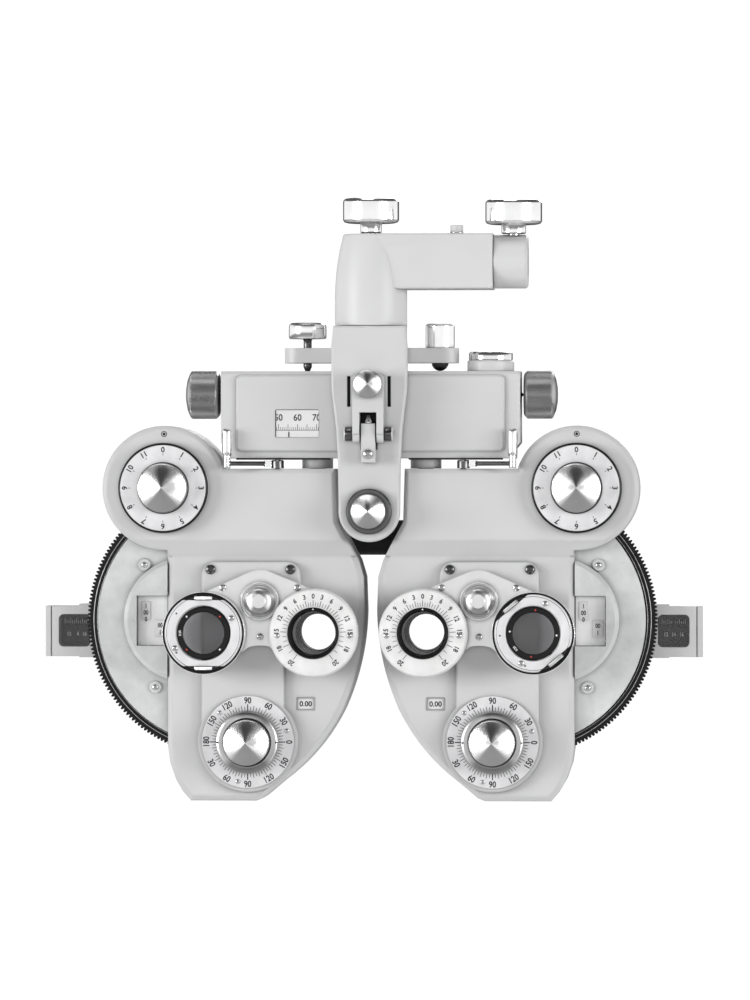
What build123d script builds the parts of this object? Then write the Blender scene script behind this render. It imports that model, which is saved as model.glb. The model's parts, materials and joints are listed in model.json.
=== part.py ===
from build123d import *
import math
import os

# A manual phoropter: two mirrored lens batteries hang from a pupil-distance box, the box hangs from a
# column, and the column swivels under an arm whose end boss takes the stand's rod.
#
# Working frame, mm: X to the examiner's right, Y away from the examiner (towards the patient), Z up;
# X = 0 midway between the eyes, Y = 0 on the weak sphere disc, Z = 0 at eye level. Every piece moves
# by -ORIGIN on export, which puts the row origin at the mouth of the stand socket.
# A battery is drawn once, on the +X side, and mirrored.

# ---- head frame
SOCKET_MOUTH_X = 80.4
SWIVEL_Y = -11.5
TILT_Z = 189.3
ORIGIN = (SOCKET_MOUTH_X, SWIVEL_Y, TILT_Z)

# ---- fits
RUN = 0.05
GAP = 0.2

# ---- stand socket and arm
SOCKET_BORE_R = 8.0
SOCKET_BORE_DEPTH = 30.0
SOCKET_BOSS_R = 13.7
SOCKET_FACE_X = 63.0
TRUNNION_R = 11.0
TRUNNION_END_X = 36.0
STOP_PIN_X = 43.9
STOP_GROOVE_R = 9.0
SOCKET_KNOB_X = 73.0
ARM_SEAM_Z = 156.5
ARM_FOOT_R = 18.5
ARM_TOP_R = 14.2
ARM_STRAIGHT_Z = 170.0
ARM_HALF_Y = 13.9
ARM_TOP_Z = 203.4
ARM_BEAM_LOW_Z = 175.2
CLAMP_SCREW_R = 3.0

# ---- column
COLUMN_FRONT_Y = -30.0
COLUMN_BACK_Y = -22.0
COLUMN_TOP_HALF = 18.4
COLUMN_EDGE = (
    (156.2, COLUMN_TOP_HALF), (146.0, 19.3), (133.0, 19.3), (123.0, 19.1), (113.7, 17.9), (104.0, 16.8),
    (86.0, 15.8),
)
COLUMN_LOW_HALF = 15.5
COLUMN_BOSS_LOW_Z = 134.6
SWIVEL_POST_R = 9.0
SWIVEL_POST_TOP_Z = 197.5
FOREHEAD_Z = 61.7
LEVEL_PIVOT_Z = 110.0
LEVEL_PIVOT_R = 5.0

# ---- levelling bar
BAR_HALF = 44.7
BAR_LOW_Z = 137.7
BAR_TOP_Z = 145.4
LEVEL_SCREW_X = -33.0
PLUNGER_X = 35.0
PLUNGER_R = 4.4
PLUNGER_TOP_Z = 157.8
BUBBLE_X = 61.0

# ---- pupil-distance box
BOX_HALF = 76.5
BOX_LOW_Z = 89.0
BOX_TOP_Z = 133.4
BOX_BACK_Y = 12.0
BOX_WALL = 3.0
PANEL_HALF = 68.6
PANEL_FRONT_Y = -20.0
PANEL_BACK_Y = -18.0
SCREW_Y = -4.5
SCREW_Z = 121.5
SCREW_R = 4.0
GUIDE_Z = 101.5
GUIDE_R = 3.0
PD_KNOB_R = 12.3
PD_WINDOW = (-37.3, 106.6, 22.5, 14.6)
PD_TRAVEL_IN = 2.25
PD_TRAVEL_OUT = 12.25

# ---- near-point rod bracket
ROD_BORE_R = 3.2
ROD_Y = -35.5
ROD_LOW_Z = 112.0
BRACKET_HALF = 7.9
BRACKET_TOP_Z = 132.0
FOLD_Y = -35.0
FOLD_Z = 101.1
FOLD_PIN_R = 1.6
ROD_KNOB_Z = 126.4
TONGUE_HALF = 3.6
TONGUE_FRONT_Y = -38.5

# ---- battery
SIGHT_X = 27.8
SIGHT_R = 10.4
FACE_Y = -16.0
UPPER_FACE_Y = -21.0
MESA_Y = -20.0
SPLIT_Y = 4.5
REAR_Y = 24.0
WALL = 2.5
CASE_TOP_Z = 83.6
CASE_OUTER_X = 104.0
LOBE = (105.4, 73.7)
LOBE_R = 31.8
HANGER_R = 7.9
STUD_R = 4.0
STUD_LOW_Z = 73.0

# ---- lens discs
DISC = (76.3, 6.1)
DISC_R = 70.0
DISC_RING_IN_R = 64.0
DISC_TEETH = 216
SPINDLE_R = 4.0
LENS_CIRCLE_R = math.dist(DISC, (SIGHT_X, 0.0))
LENS_HOLE_R = 9.2
LENS_COUNT = 12
GEARED_HOLE_R = 9.6
KNOB_GEARS = (75, 15)
CYL_GEARS = (72, 18)
SLEEVE_R = 2.9
INNER_SHAFT_R = 1.7

# ---- cylinder unit
CYL_KNOB = (62.5, -55.9)
CYL_DISC = (53.4, -2.0)
CYL_LENS_CIRCLE_R = math.dist(CYL_DISC, (SIGHT_X, 0.0))
CYL_PIN_R = 3.0
CYL_HOLE_R = 9.7
AXIS_SLEEVE_R = 6.0
SCALE_PLATE_R = 23.5

# ---- turret
TURRET = (55.8, 16.15)
TURRET_PIN_R = 4.0
PRISM = (SIGHT_X, 0.0)
PRISM_R = 22.6
PRISM_BORE_R = 11.4
PRISM_SPIGOT_R = 12.3
JCC = (83.8, 0.0)
JCC_R = 21.0
JCC_SPIGOT_R = 16.0
JCC_BORE_R = 14.2
JCC_CELL_R = 13.3
JCC_LENS_R = 10.6
JCC_Y = -36.5
JCC_WHEEL_R = 5.2
JCC_WHEEL = (16.9, 18.8)
JCC_POCKET = (16.8, 19.7)
FLIP_ANGLE = {"left": 90.0, "right": 130.0}

# ---- vergence lever
LEVER = (47.5, -17.0)
HANDLE = (72.9, -24.5)
LEVER_PIN_R = 1.5


# ------------------------------------------------------------------------------ small helpers
def bar_y(r, y0, y1, at=(0.0, 0.0)):
    """Round bar along Y between y0 (front) and y1 (back)."""
    base = Cylinder(r, y1 - y0, align=(Align.CENTER, Align.CENTER, Align.MIN))
    return Pos(at[0], y1, at[1]) * Rot(90, 0, 0) * base


def bar_z(r, z0, z1, x=0.0, y=0.0):
    """Round bar along Z."""
    return Pos(x, y, z0) * Cylinder(r, z1 - z0, align=(Align.CENTER, Align.CENTER, Align.MIN))


def bar_x(r, x0, x1, y=0.0, z=0.0):
    """Round bar along X."""
    base = Cylinder(r, x1 - x0, align=(Align.CENTER, Align.CENTER, Align.MIN))
    return Pos(x0, y, z) * Rot(0, 90, 0) * base


def cone_y(r_back, r_front, y0, y1, at=(0.0, 0.0)):
    """Cone frustum along Y, r_front at y0 and r_back at y1."""
    base = Cone(r_back, r_front, y1 - y0, align=(Align.CENTER, Align.CENTER, Align.MIN))
    return Pos(at[0], y1, at[1]) * Rot(90, 0, 0) * base


def block(x0, x1, y0, y1, z0, z1):
    """Box given by its six faces."""
    return Pos((x0 + x1) / 2, (y0 + y1) / 2, (z0 + z1) / 2) * Box(x1 - x0, y1 - y0, z1 - z0)


def flat(outline, y0, y1):
    """Plate cut to an outline drawn in the X-Z plane, between y0 and y1."""
    return extrude(Plane.XZ.offset(-y1) * outline, amount=y1 - y0, dir=(0, -1, 0))


def disc_at(centre, r):
    """Circle in the X-Z plane."""
    return Pos(*centre) * Circle(r)


def rect(x0, x1, z0, z1):
    """Rectangle in the X-Z plane."""
    return Pos((x0 + x1) / 2, (z0 + z1) / 2) * Rectangle(x1 - x0, z1 - z0)


def polar(centre, r, angle):
    """Point at a radius and an angle in radians, counter-clockwise from +X as the examiner sees it."""
    return (centre[0] + r * math.cos(angle), centre[1] + r * math.sin(angle))


def bearing(a, b):
    """Direction from a to b in radians."""
    return math.atan2(b[1] - a[1], b[0] - a[0])


def knurl(centre, r_root, r_tip, count):
    """Outline of a knurled edge: straight-sided teeth with flat tips."""
    pitch = 2 * math.pi / count
    shape = ((0.0, r_root), (0.25, r_tip), (0.6, r_tip), (0.85, r_root))
    points = [polar(centre, r, (k + part) * pitch) for k in range(count) for part, r in shape]
    return Polygon(*points, align=None)


def gear(centre, teeth, module, first_tooth, backlash=0.16):
    """Outline of a 20 degree involute spur gear with one tooth centred on first_tooth."""
    pressure = math.radians(20)
    pitch_r = teeth * module / 2
    base_r = pitch_r * math.cos(pressure)
    root_r = pitch_r - 1.1 * module
    tip_r = pitch_r + 0.8 * module
    low_r = max(base_r, root_r)
    half = math.pi / (2 * teeth) - backlash / (2 * pitch_r)

    def half_angle(r):
        roll = math.acos(min(1.0, base_r / r))
        return half + (math.tan(pressure) - pressure) - (math.tan(roll) - roll)

    steps = [low_r + (tip_r - low_r) * k / 4 for k in range(5)]
    points = []
    for tooth in range(teeth):
        middle = first_tooth + 2 * math.pi * tooth / teeth
        points.append(polar(centre, root_r, middle - half_angle(low_r)))
        points += [polar(centre, r, middle - half_angle(r)) for r in steps if r > root_r]
        points += [polar(centre, r, middle + half_angle(r)) for r in reversed(steps) if r > root_r]
        points.append(polar(centre, root_r, middle + half_angle(low_r)))
    return Polygon(*points, align=None)


def gear_pair(wheel, pinion, teeth):
    """Outlines of a wheel and the pinion in mesh with it."""
    line = bearing(wheel, pinion)
    module = 2 * math.dist(wheel, pinion) / sum(teeth)
    wheel_outline = gear(wheel, teeth[0], module, line)
    pinion_outline = gear(pinion, teeth[1], module, line + math.pi + math.pi / teeth[1])
    return wheel_outline, pinion_outline


def lens_holes(centre, circle_r, hole_r, count):
    """Lens apertures on a circle, one of them on the sight axis."""
    first = bearing(centre, (SIGHT_X, 0.0))
    spots = [polar(centre, circle_r, first + 2 * math.pi * k / count) for k in range(count)]
    return Sketch() + [disc_at(spot, hole_r) for spot in spots]


def spun_knob(r, y_tip, y_back, at):
    """Turned aluminium knob: a straight rim and a shallow cone to a small flat tip."""
    rim = (y_back - y_tip) * 0.55
    knob = bar_y(r, y_back - rim, y_back, at)
    return knob + cone_y(r - 0.6, r * 0.3, y_tip, y_back - rim, at)


# ------------------------------------------------------------------------------ hanging frame
def stand_socket():
    """Root piece: boss with the stand-rod bore and the trunnion on which the arm tilts."""
    part = bar_x(SOCKET_BOSS_R, SOCKET_FACE_X, SOCKET_MOUTH_X, SWIVEL_Y, TILT_Z)
    part = chamfer(part.edges().sort_by(Axis.X)[-1], 1.0)
    part += bar_x(TRUNNION_R, TRUNNION_END_X, SOCKET_FACE_X, SWIVEL_Y, TILT_Z)
    groove = bar_x(TRUNNION_R + 1, STOP_PIN_X - 2.4, STOP_PIN_X + 2.4, SWIVEL_Y, TILT_Z)
    part -= groove - bar_x(STOP_GROOVE_R, STOP_PIN_X - 3, STOP_PIN_X + 3, SWIVEL_Y, TILT_Z)
    part -= bar_x(SOCKET_BORE_R, SOCKET_MOUTH_X - SOCKET_BORE_DEPTH, SOCKET_MOUTH_X + 1, SWIVEL_Y, TILT_Z)
    return part - bar_z(CLAMP_SCREW_R + RUN, TILT_Z, ARM_TOP_Z, SOCKET_KNOB_X, SWIVEL_Y)


def clamp_knob(x, r, tip_z, stem_r, stem_low_z, low_z, top_z):
    """Round clamp knob on a stem, with its screw going down to tip_z."""
    knob = bar_z(r, low_z, top_z, x, SWIVEL_Y)
    knob = chamfer(knob.edges().filter_by(GeomType.CIRCLE), 1.2)
    knob += bar_z(stem_r, stem_low_z, low_z, x, SWIVEL_Y)
    return knob + bar_z(CLAMP_SCREW_R, tip_z, stem_low_z, x, SWIVEL_Y)


def socket_clamp_knob():
    return clamp_knob(SOCKET_KNOB_X, 14.5, 197.5, 6.35, 203.3, 206.5, 220.9)


def swivel_clamp_knob():
    return clamp_knob(0.0, 14.35, 198.0, 5.5, 203.6, 208.8, 221.7)


def arm():
    """Swivel housing that curves in to its top, with the horizontal beam and the tilt stop pin."""
    side = Polyline((ARM_TOP_R, ARM_TOP_Z), (0, ARM_TOP_Z), (0, ARM_SEAM_Z), (ARM_FOOT_R, ARM_SEAM_Z),
                    (ARM_FOOT_R, ARM_STRAIGHT_Z))
    curve = TangentArc((ARM_FOOT_R, ARM_STRAIGHT_Z), (ARM_TOP_R, ARM_TOP_Z), tangent=(0, 1))
    part = revolve(Plane.XZ * make_face([*side.edges(), *curve.edges()]), Axis.Z)
    part = Pos(0, SWIVEL_Y, 0) * fillet(part.edges().sort_by(Axis.Z)[-1], 1.2)
    front, back = SWIVEL_Y - ARM_HALF_Y, SWIVEL_Y + ARM_HALF_Y
    beam = block(0, SOCKET_FACE_X - 0.3, front, back, ARM_BEAM_LOW_Z, ARM_TOP_Z)
    part += fillet(beam.edges().filter_by(Axis.X), 1.2)
    part -= bar_z(SWIVEL_POST_R + RUN, ARM_SEAM_Z, SWIVEL_POST_TOP_Z + 0.5, 0, SWIVEL_Y)
    part -= bar_z(CLAMP_SCREW_R + RUN, SWIVEL_POST_TOP_Z, ARM_TOP_Z + 1, 0, SWIVEL_Y)
    part -= bar_x(TRUNNION_R + RUN, TRUNNION_END_X - 0.5, SOCKET_FACE_X + 1, SWIVEL_Y, TILT_Z)
    tip_z = TILT_Z + STOP_GROOVE_R + 0.3
    part += bar_z(1.9, tip_z, ARM_TOP_Z, STOP_PIN_X, SWIVEL_Y)
    return part + bar_z(3.3, ARM_TOP_Z, 208.0, STOP_PIN_X, SWIVEL_Y)


def column():
    """Swivel post, saddle boss over the box and the long front plate that carries the head."""
    left = [(-half, z) for z, half in COLUMN_EDGE] + [(-COLUMN_LOW_HALF, FOREHEAD_Z)]
    sides = Polyline(*[(-x, z) for x, z in reversed(left)], *left)
    foot = ThreePointArc(left[-1], (0, FOREHEAD_Z - COLUMN_LOW_HALF), (COLUMN_LOW_HALF, FOREHEAD_Z))
    outline = make_face([*sides.edges(), *foot.edges()])
    part = flat(outline, COLUMN_FRONT_Y, COLUMN_BACK_Y)
    part = chamfer(part.faces().sort_by(Axis.Y)[0].outer_wire().edges(), 1.0)
    part += block(-COLUMN_TOP_HALF, COLUMN_TOP_HALF, COLUMN_BACK_Y, SWIVEL_Y, COLUMN_BOSS_LOW_Z, 156.2)
    part += bar_z(COLUMN_TOP_HALF, COLUMN_BOSS_LOW_Z, 156.2, 0, SWIVEL_Y)
    part += bar_z(SWIVEL_POST_R, 156.2, SWIVEL_POST_TOP_Z, 0, SWIVEL_Y)
    part -= block(-20, 20, -11.0, 3.0, BAR_LOW_Z, BAR_TOP_Z)
    part -= bar_y(LEVEL_PIVOT_R + RUN, -28.0, COLUMN_BACK_Y + 1, (0, LEVEL_PIVOT_Z))
    part += bar_y(7.5, COLUMN_BACK_Y, 22.0, (0, FOREHEAD_Z))
    part -= bar_y(4.0 + RUN, COLUMN_BACK_Y, 23.0, (0, FOREHEAD_Z))
    part -= bar_y(2.0 + RUN, COLUMN_FRONT_Y - 1, COLUMN_BACK_Y + 1, (0, FOREHEAD_Z))
    for side in (-1, 1):
        ear = bar_x(3.4, 8.3, 12.6, FOLD_Y, FOLD_Z) + block(8.3, 12.6, FOLD_Y, COLUMN_FRONT_Y, 98.4, 103.8)
        slot = block(9.4, 11.1, COLUMN_FRONT_Y - 1, COLUMN_FRONT_Y + 2.5, 115.0, 130.6)
        shift = ear - bar_x(FOLD_PIN_R + RUN, 8, 13, FOLD_Y, FOLD_Z)
        part += shift if side > 0 else mirror(shift, Plane.YZ)
        part -= slot if side > 0 else mirror(slot, Plane.YZ)
    return part + block(-TONGUE_HALF, TONGUE_HALF, TONGUE_FRONT_Y, COLUMN_FRONT_Y, 86.6, 106.4)


def level_bar():
    """Cross bar through the column, with the levelling screw's thread and the plunger's barrel."""
    ends = Rectangle(2 * BAR_HALF - 14.0, 14.0) + Pos(BAR_HALF - 7, 0) * Circle(7)
    ends += Pos(7 - BAR_HALF, 0) * Circle(7)
    part = Pos(0, -4.0, BAR_LOW_Z) * extrude(ends, amount=BAR_TOP_Z - BAR_LOW_Z)
    part -= bar_z(2.25 + RUN, BAR_LOW_Z - 1, BAR_TOP_Z + 1, LEVEL_SCREW_X, -4.0)
    barrel = bar_z(7.35, BAR_TOP_Z, PLUNGER_TOP_Z, PLUNGER_X, -4.0)
    part += chamfer(barrel.edges().sort_by(Axis.Z)[-1], 0.8)
    return part - bar_z(PLUNGER_R + RUN, BAR_LOW_Z - 1, PLUNGER_TOP_Z - 3.0, PLUNGER_X, -4.0)


def level_screw():
    """Knurled levelling screw with a cone point on the box."""
    part = Pos(0, 0, 150.0) * extrude(Pos(LEVEL_SCREW_X, -4.0) * knurl((0, 0), 9.2, 9.65, 48), amount=8.4)
    part += bar_z(2.25, 135.6, 150.0, LEVEL_SCREW_X, -4.0)
    tip = Cone(0.6, 2.25, 1.9, align=(Align.CENTER, Align.CENTER, Align.MIN))
    return part + Pos(LEVEL_SCREW_X, -4.0, 133.7) * tip


def level_plunger():
    """Sprung pin that pushes the box against the levelling screw."""
    part = bar_z(PLUNGER_R, 138.0, PLUNGER_TOP_Z - 6.0, PLUNGER_X, -4.0)
    ball = Pos(PLUNGER_X, -4.0, 138.0) * Sphere(PLUNGER_R)
    return part + (ball & block(30, 40, -9, 1, 133.6, 138.0))


# ------------------------------------------------------------------------------ pupil-distance box
def box_case():
    """Hollow box with the guide rod, the levelling pivot and the two slots the hangers run in."""
    outline = Polygon(
        (-BOX_HALF, BOX_TOP_Z), (BOX_HALF, BOX_TOP_Z), (BOX_HALF, 97.0), (BOX_HALF - 2.5, 94.0),
        (BOX_HALF - 2.5, BOX_LOW_Z), (2.5 - BOX_HALF, BOX_LOW_Z), (2.5 - BOX_HALF, 94.0),
        (-BOX_HALF, 97.0), align=None,
    )
    part = flat(outline, PANEL_BACK_Y, BOX_BACK_Y)
    part = chamfer(part.edges().filter_by(Axis.X).group_by(Axis.Z)[-1], 1.5)
    part -= block(-70.5, 70.5, PANEL_BACK_Y + 3, BOX_BACK_Y - BOX_WALL, 92.0, 130.4)
    part -= block(-65.0, 65.0, PANEL_BACK_Y - 1, PANEL_BACK_Y + 4, 95.0, 128.5)
    part += block(-4.0, 4.0, PANEL_BACK_Y + 3, BOX_BACK_Y - BOX_WALL, 92.0, 130.4)
    part += bar_y(LEVEL_PIVOT_R, -27.5, PANEL_BACK_Y + 4, (0, LEVEL_PIVOT_Z))
    part += bar_x(GUIDE_R, -71.0, 71.0, SCREW_Y, GUIDE_Z)
    part -= bar_x(SCREW_R + RUN, -80, 80, SCREW_Y, SCREW_Z)
    for side in (-1, 1):
        slot = block(
            SIGHT_X - PD_TRAVEL_IN - HANGER_R - 0.5, SIGHT_X + PD_TRAVEL_OUT + HANGER_R + 0.5,
            SCREW_Y - HANGER_R - 0.5, SCREW_Y + HANGER_R + 0.5, BOX_LOW_Z - 1, 93.0,
        )
        part -= slot if side > 0 else mirror(slot, Plane.YZ)
    return part


def box_cover():
    """Front panel with the pupil-distance window."""
    x, z, width, height = PD_WINDOW
    outline = Pos(0, 111.8) * RectangleRounded(2 * PANEL_HALF, 39.0, 2.5)
    outline -= disc_at((0, LEVEL_PIVOT_Z), LEVEL_PIVOT_R + 0.3)
    outline -= Pos(x, z) * RectangleRounded(width, height, 1.0)
    panel = flat(outline, PANEL_FRONT_Y, PANEL_BACK_Y)
    return chamfer(panel.faces().sort_by(Axis.Y)[0].outer_wire().edges(), 0.9)


def pd_knob_shaft():
    """Leadscrew of the pupil-distance drive with a knurled knob on each end."""
    part = bar_x(SCREW_R, -78.0, 78.0, SCREW_Y, SCREW_Z)
    for side in (-1, 1):
        grip = Plane.YZ * knurl((SCREW_Y, SCREW_Z), PD_KNOB_R - 0.5, PD_KNOB_R, 60)
        knob = Pos(78.0, 0, 0) * extrude(grip, amount=15.0)
        dome = Cone(PD_KNOB_R - 1, PD_KNOB_R - 5, 2.4, align=(Align.CENTER, Align.CENTER, Align.MIN))
        knob += Pos(93.0, SCREW_Y, SCREW_Z) * Rot(0, 90, 0) * dome
        part += knob if side > 0 else mirror(knob, Plane.YZ)
    return part


def carriage():
    """Nut block on the leadscrew with the round hanger post and the stud a battery turns on."""
    part = block(SIGHT_X - 8, SIGHT_X + 8, SCREW_Y - 8, SCREW_Y + 8, 92.5, 129.5)
    part -= bar_x(SCREW_R + RUN, 0, 60, SCREW_Y, SCREW_Z)
    part -= bar_x(GUIDE_R + RUN, 0, 60, SCREW_Y, GUIDE_Z)
    part += bar_z(HANGER_R, CASE_TOP_Z + GAP, 92.5, SIGHT_X, SCREW_Y)
    return part + bar_z(STUD_R, STUD_LOW_Z, CASE_TOP_Z + GAP, SIGHT_X, SCREW_Y)


def bubble_level():
    """Round bubble level on top of the box."""
    part = bar_z(12.0, BOX_TOP_Z, 139.1, BUBBLE_X, -4.0)
    return part + bar_z(11.2, 139.1, 143.4, BUBBLE_X, -4.0)


# ------------------------------------------------------------------------------ column fittings
def near_rod_bracket():
    """Fold-down holder for the near-point rod, shown folded up."""
    profile = Polygon(
        (-BRACKET_HALF, FOLD_Z), (BRACKET_HALF, FOLD_Z), (BRACKET_HALF, BRACKET_TOP_Z - 2),
        (BRACKET_HALF - 2, BRACKET_TOP_Z), (2 - BRACKET_HALF, BRACKET_TOP_Z),
        (-BRACKET_HALF, BRACKET_TOP_Z - 2), align=None,
    )
    part = flat(profile, ROD_Y - 5.0, FOLD_Y + 4.5)
    part += bar_x(4.5, -BRACKET_HALF, BRACKET_HALF, FOLD_Y, FOLD_Z)
    part -= block(-4.35, 4.35, ROD_Y - 6.0, FOLD_Y + 5, 90, ROD_LOW_Z)
    part += bar_x(FOLD_PIN_R, -12.4, -4.35, FOLD_Y, FOLD_Z) + bar_x(FOLD_PIN_R, 4.35, 12.4, FOLD_Y, FOLD_Z)
    part -= bar_z(ROD_BORE_R, ROD_LOW_Z - 1, BRACKET_TOP_Z + 1, 0, ROD_Y)
    return part - bar_y(1.5 + RUN, ROD_Y - 6, ROD_Y, (0, ROD_KNOB_Z))


def near_rod_clamp_knob():
    """Small spun knob whose screw grips the near-point rod."""
    part = spun_knob(7.35, -48.0, ROD_Y - 5.3, (0, ROD_KNOB_Z))
    return part + bar_y(1.5, ROD_Y - 5.4, ROD_Y - ROD_BORE_R - 0.1, (0, ROD_KNOB_Z))


def forehead_knob():
    """Knob that drives the forehead rest in and out, on a collar at the column's foot."""
    at = (0, FOREHEAD_Z)
    part = bar_y(11.7, -33.0, COLUMN_FRONT_Y - GAP, at) + spun_knob(8.9, -46.0, -33.0, at)
    return part + bar_y(2.0, COLUMN_FRONT_Y - 1, 4.0, at)


def forehead_rest():
    """Padded rest on a sliding stem behind the column."""
    at = (0, FOREHEAD_Z)
    stem = bar_y(4.0, -12.0, 36.0, at) - bar_y(2.0 + RUN, -13.0, 14.0, at)
    foot = block(-9.0, 9.0, 36.0, 40.0, 48.0, FOREHEAD_Z + 4.0)
    curve = Pos(0, 140.0) * (Circle(102.0) - Circle(96.0))
    strip = curve & (Pos(0, 45.0) * Rectangle(60.0, 20.0))
    pad = Pos(0, 0, 39.3) * extrude(strip, amount=17.7)
    return stem + foot + pad


# ------------------------------------------------------------------------------ battery housings
def case_outline():
    """Front view of a battery housing, without the round lobe of the upper dial."""
    upper = ThreePointArc((3.2, 11.6), (6.4, -15.5), (14.3, -39.2))
    lower = ThreePointArc((14.3, -39.2), (27.9, -60.3), (44.8, -76.3))
    edge = Polyline(
        (44.8, -76.3), (54.9, -84.8), (58.4, -86.2), (92.2, -86.2), (96.4, -81.4), (99.8, -75.5),
        (102.8, -67.0), (CASE_OUTER_X, -58.6), (CASE_OUTER_X, CASE_TOP_Z), (17.6, CASE_TOP_Z),
        (16.8, 56.5), (6.4, 37.0), (3.8, 28.5), (3.2, 11.6),
    )
    return make_face([*upper.edges(), *lower.edges(), *edge.edges()])


def case_inside():
    """Cavity outline of both housing halves."""
    return offset(case_outline(), -WALL) + disc_at(LOBE, LOBE_R - WALL)


def upper_part(outline, front_y, low_z):
    """The thicker top of the front case, sloping back to the main face below it."""
    part = flat(outline & rect(0, 150, low_z, 120), front_y, FACE_Y + 4)
    part = chamfer(part.faces().sort_by(Axis.Y)[0].outer_wire().edges().sort_by(Axis.Z)[1:], 2.0)
    slope = Polygon((front_y, low_z + 8), (front_y - 1, low_z + 8), (front_y - 1, low_z - 1),
                    (FACE_Y, low_z - 1), (FACE_Y, low_z), align=None)
    return part - extrude(Plane.YZ * slope, amount=150, dir=(1, 0, 0))


def mesa_outline():
    """Raised panel behind the turret, running down round the cylinder dial."""
    panel = Pos(60.85, 15.0) * RectangleRounded(50.7, 42.0, 7.0)
    panel += rect(44.0, 86.2, CYL_KNOB[1], 20.0)
    return panel + disc_at(CYL_KNOB, 25.6)


def front_case():
    """Front half of a housing with the mesa, the bearings and the hanger boss."""
    shape = case_outline()
    body = flat(shape, FACE_Y, SPLIT_Y)
    body = chamfer(body.faces().sort_by(Axis.Y)[0].outer_wire().edges(), 2.5)
    body += flat(disc_at(LOBE, LOBE_R), FACE_Y, SPLIT_Y)
    body += upper_part(shape + disc_at(LOBE, LOBE_R), UPPER_FACE_Y, 39.0)
    body += flat(mesa_outline(), MESA_Y, FACE_Y)
    body -= flat(case_inside(), FACE_Y + WALL, SPLIT_Y + 1)
    upper_room = case_inside() & rect(0, 150, 50.0, 120.0)
    body -= flat(upper_room, UPPER_FACE_Y + WALL, FACE_Y + WALL + 1)
    body += bar_z(8.5, 70.0, CASE_TOP_Z - 1, SIGHT_X, SCREW_Y)
    body += bar_y(6.0, UPPER_FACE_Y + 1, -11.0, LOBE)
    body -= bar_y(DISC_R + 0.6, -4.5, SPLIT_Y + 1, DISC)
    body -= flat(disc_at(DISC, DISC_RING_IN_R + 0.15) & rect(95, 160, -80, 90), -10.5, -4.4)
    body += bar_y(CYL_PIN_R, FACE_Y + 1, -9.3, CYL_DISC)
    body += bar_y(TURRET_PIN_R, -28.0, MESA_Y + 1, TURRET)
    body += bar_z(LEVER_PIN_R, CASE_TOP_Z - 1, 88.4, *LEVER)
    body -= bar_y(SIGHT_R, -30, 0, PRISM)
    body -= bar_y(AXIS_SLEEVE_R + RUN, -30, 0, CYL_KNOB)
    body -= bar_y(SLEEVE_R + RUN, -30, 0, LOBE)
    body -= bar_z(STUD_R + RUN, STUD_LOW_Z - 0.5, CASE_TOP_Z + 1, SIGHT_X, SCREW_Y)
    return body - flat(rect(28.75, 37.65, -39.55, -33.45), -20, -10)


def rear_case():
    """Back half of a housing with the disc spindle and the inner bearing of the knob shafts."""
    shape = case_outline() + disc_at(DISC, 66.0) + disc_at(LOBE, LOBE_R)
    inside = case_inside() + disc_at(DISC, 66.0 - WALL)
    body = flat(shape, SPLIT_Y, REAR_Y)
    body = fillet(body.faces().sort_by(Axis.Y)[-1].outer_wire().edges(), 2.0)
    body -= flat(inside, SPLIT_Y - 1, REAR_Y - WALL)
    body += bar_y(SPINDLE_R, -4.4, REAR_Y - WALL, DISC) + bar_y(8.0, 17.0, REAR_Y - WALL, DISC)
    body += bar_y(5.0, 17.5, REAR_Y - WALL, LOBE)
    body -= bar_y(INNER_SHAFT_R + RUN, 17.0, REAR_Y - WALL, LOBE)
    return body - bar_y(SIGHT_R + 1.5, 0, REAR_Y + 1, PRISM)


def disc_cover():
    """Fixed cover over the part of the weak sphere disc that stands out of the housing."""
    part = flat(disc_at(DISC, DISC_RING_IN_R) & rect(99.5, 150, -70, 80), -10.5, -8.0)
    rim = disc_at(DISC, DISC_RING_IN_R) - disc_at(DISC, DISC_RING_IN_R - 2.5)
    part += flat(rim & rect(104.2, 150, -70, 80), -8.0, -4.6)
    dome = flat(disc_at((95.0, 6.4), 31.8) & rect(104.2, 150, -70, 80), -15.0, -10.5)
    part += chamfer(dome.faces().sort_by(Axis.Y)[0].edges().filter_by(GeomType.CIRCLE), 2.0)
    return part - block(104.2 - 1, 120.0, -16, -4, -7.0, 18.6)


def axis_scale_plate():
    """Ring plate carrying the cylinder axis scale."""
    return bar_y(SCALE_PLATE_R, MESA_Y - 1.5, MESA_Y, CYL_KNOB) - bar_y(6.3, -22, -19, CYL_KNOB)


def vertex_window():
    """Side arm with the sighting window for the cornea position."""
    part = block(134.0, 152.0, 8.0, 24.0, -14.5, 14.5) + block(151.0, 169.3, 8.0, 24.0, -13.0, 13.0)
    part = part & block(134.0, 169.3, 8.0, 24.0, -13.5, 14.0)
    part -= bar_y(66.0, 0, 30, DISC)
    part -= flat(Pos(154.3, 0.4) * RectangleRounded(16.3, 16.7, 2.5), 7.0, 21.0)
    return part - block(166.0, 166.6, 7.0, 8.6, -15, 15)


def face_shield():
    """Ring shield round the patient's eye opening."""
    part = bar_y(22.0, REAR_Y, REAR_Y + 3, PRISM) + bar_y(16.5, REAR_Y + 2, REAR_Y + 6, PRISM)
    return part - bar_y(SIGHT_R + 1.2, REAR_Y - 1, REAR_Y + 7, PRISM)


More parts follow.
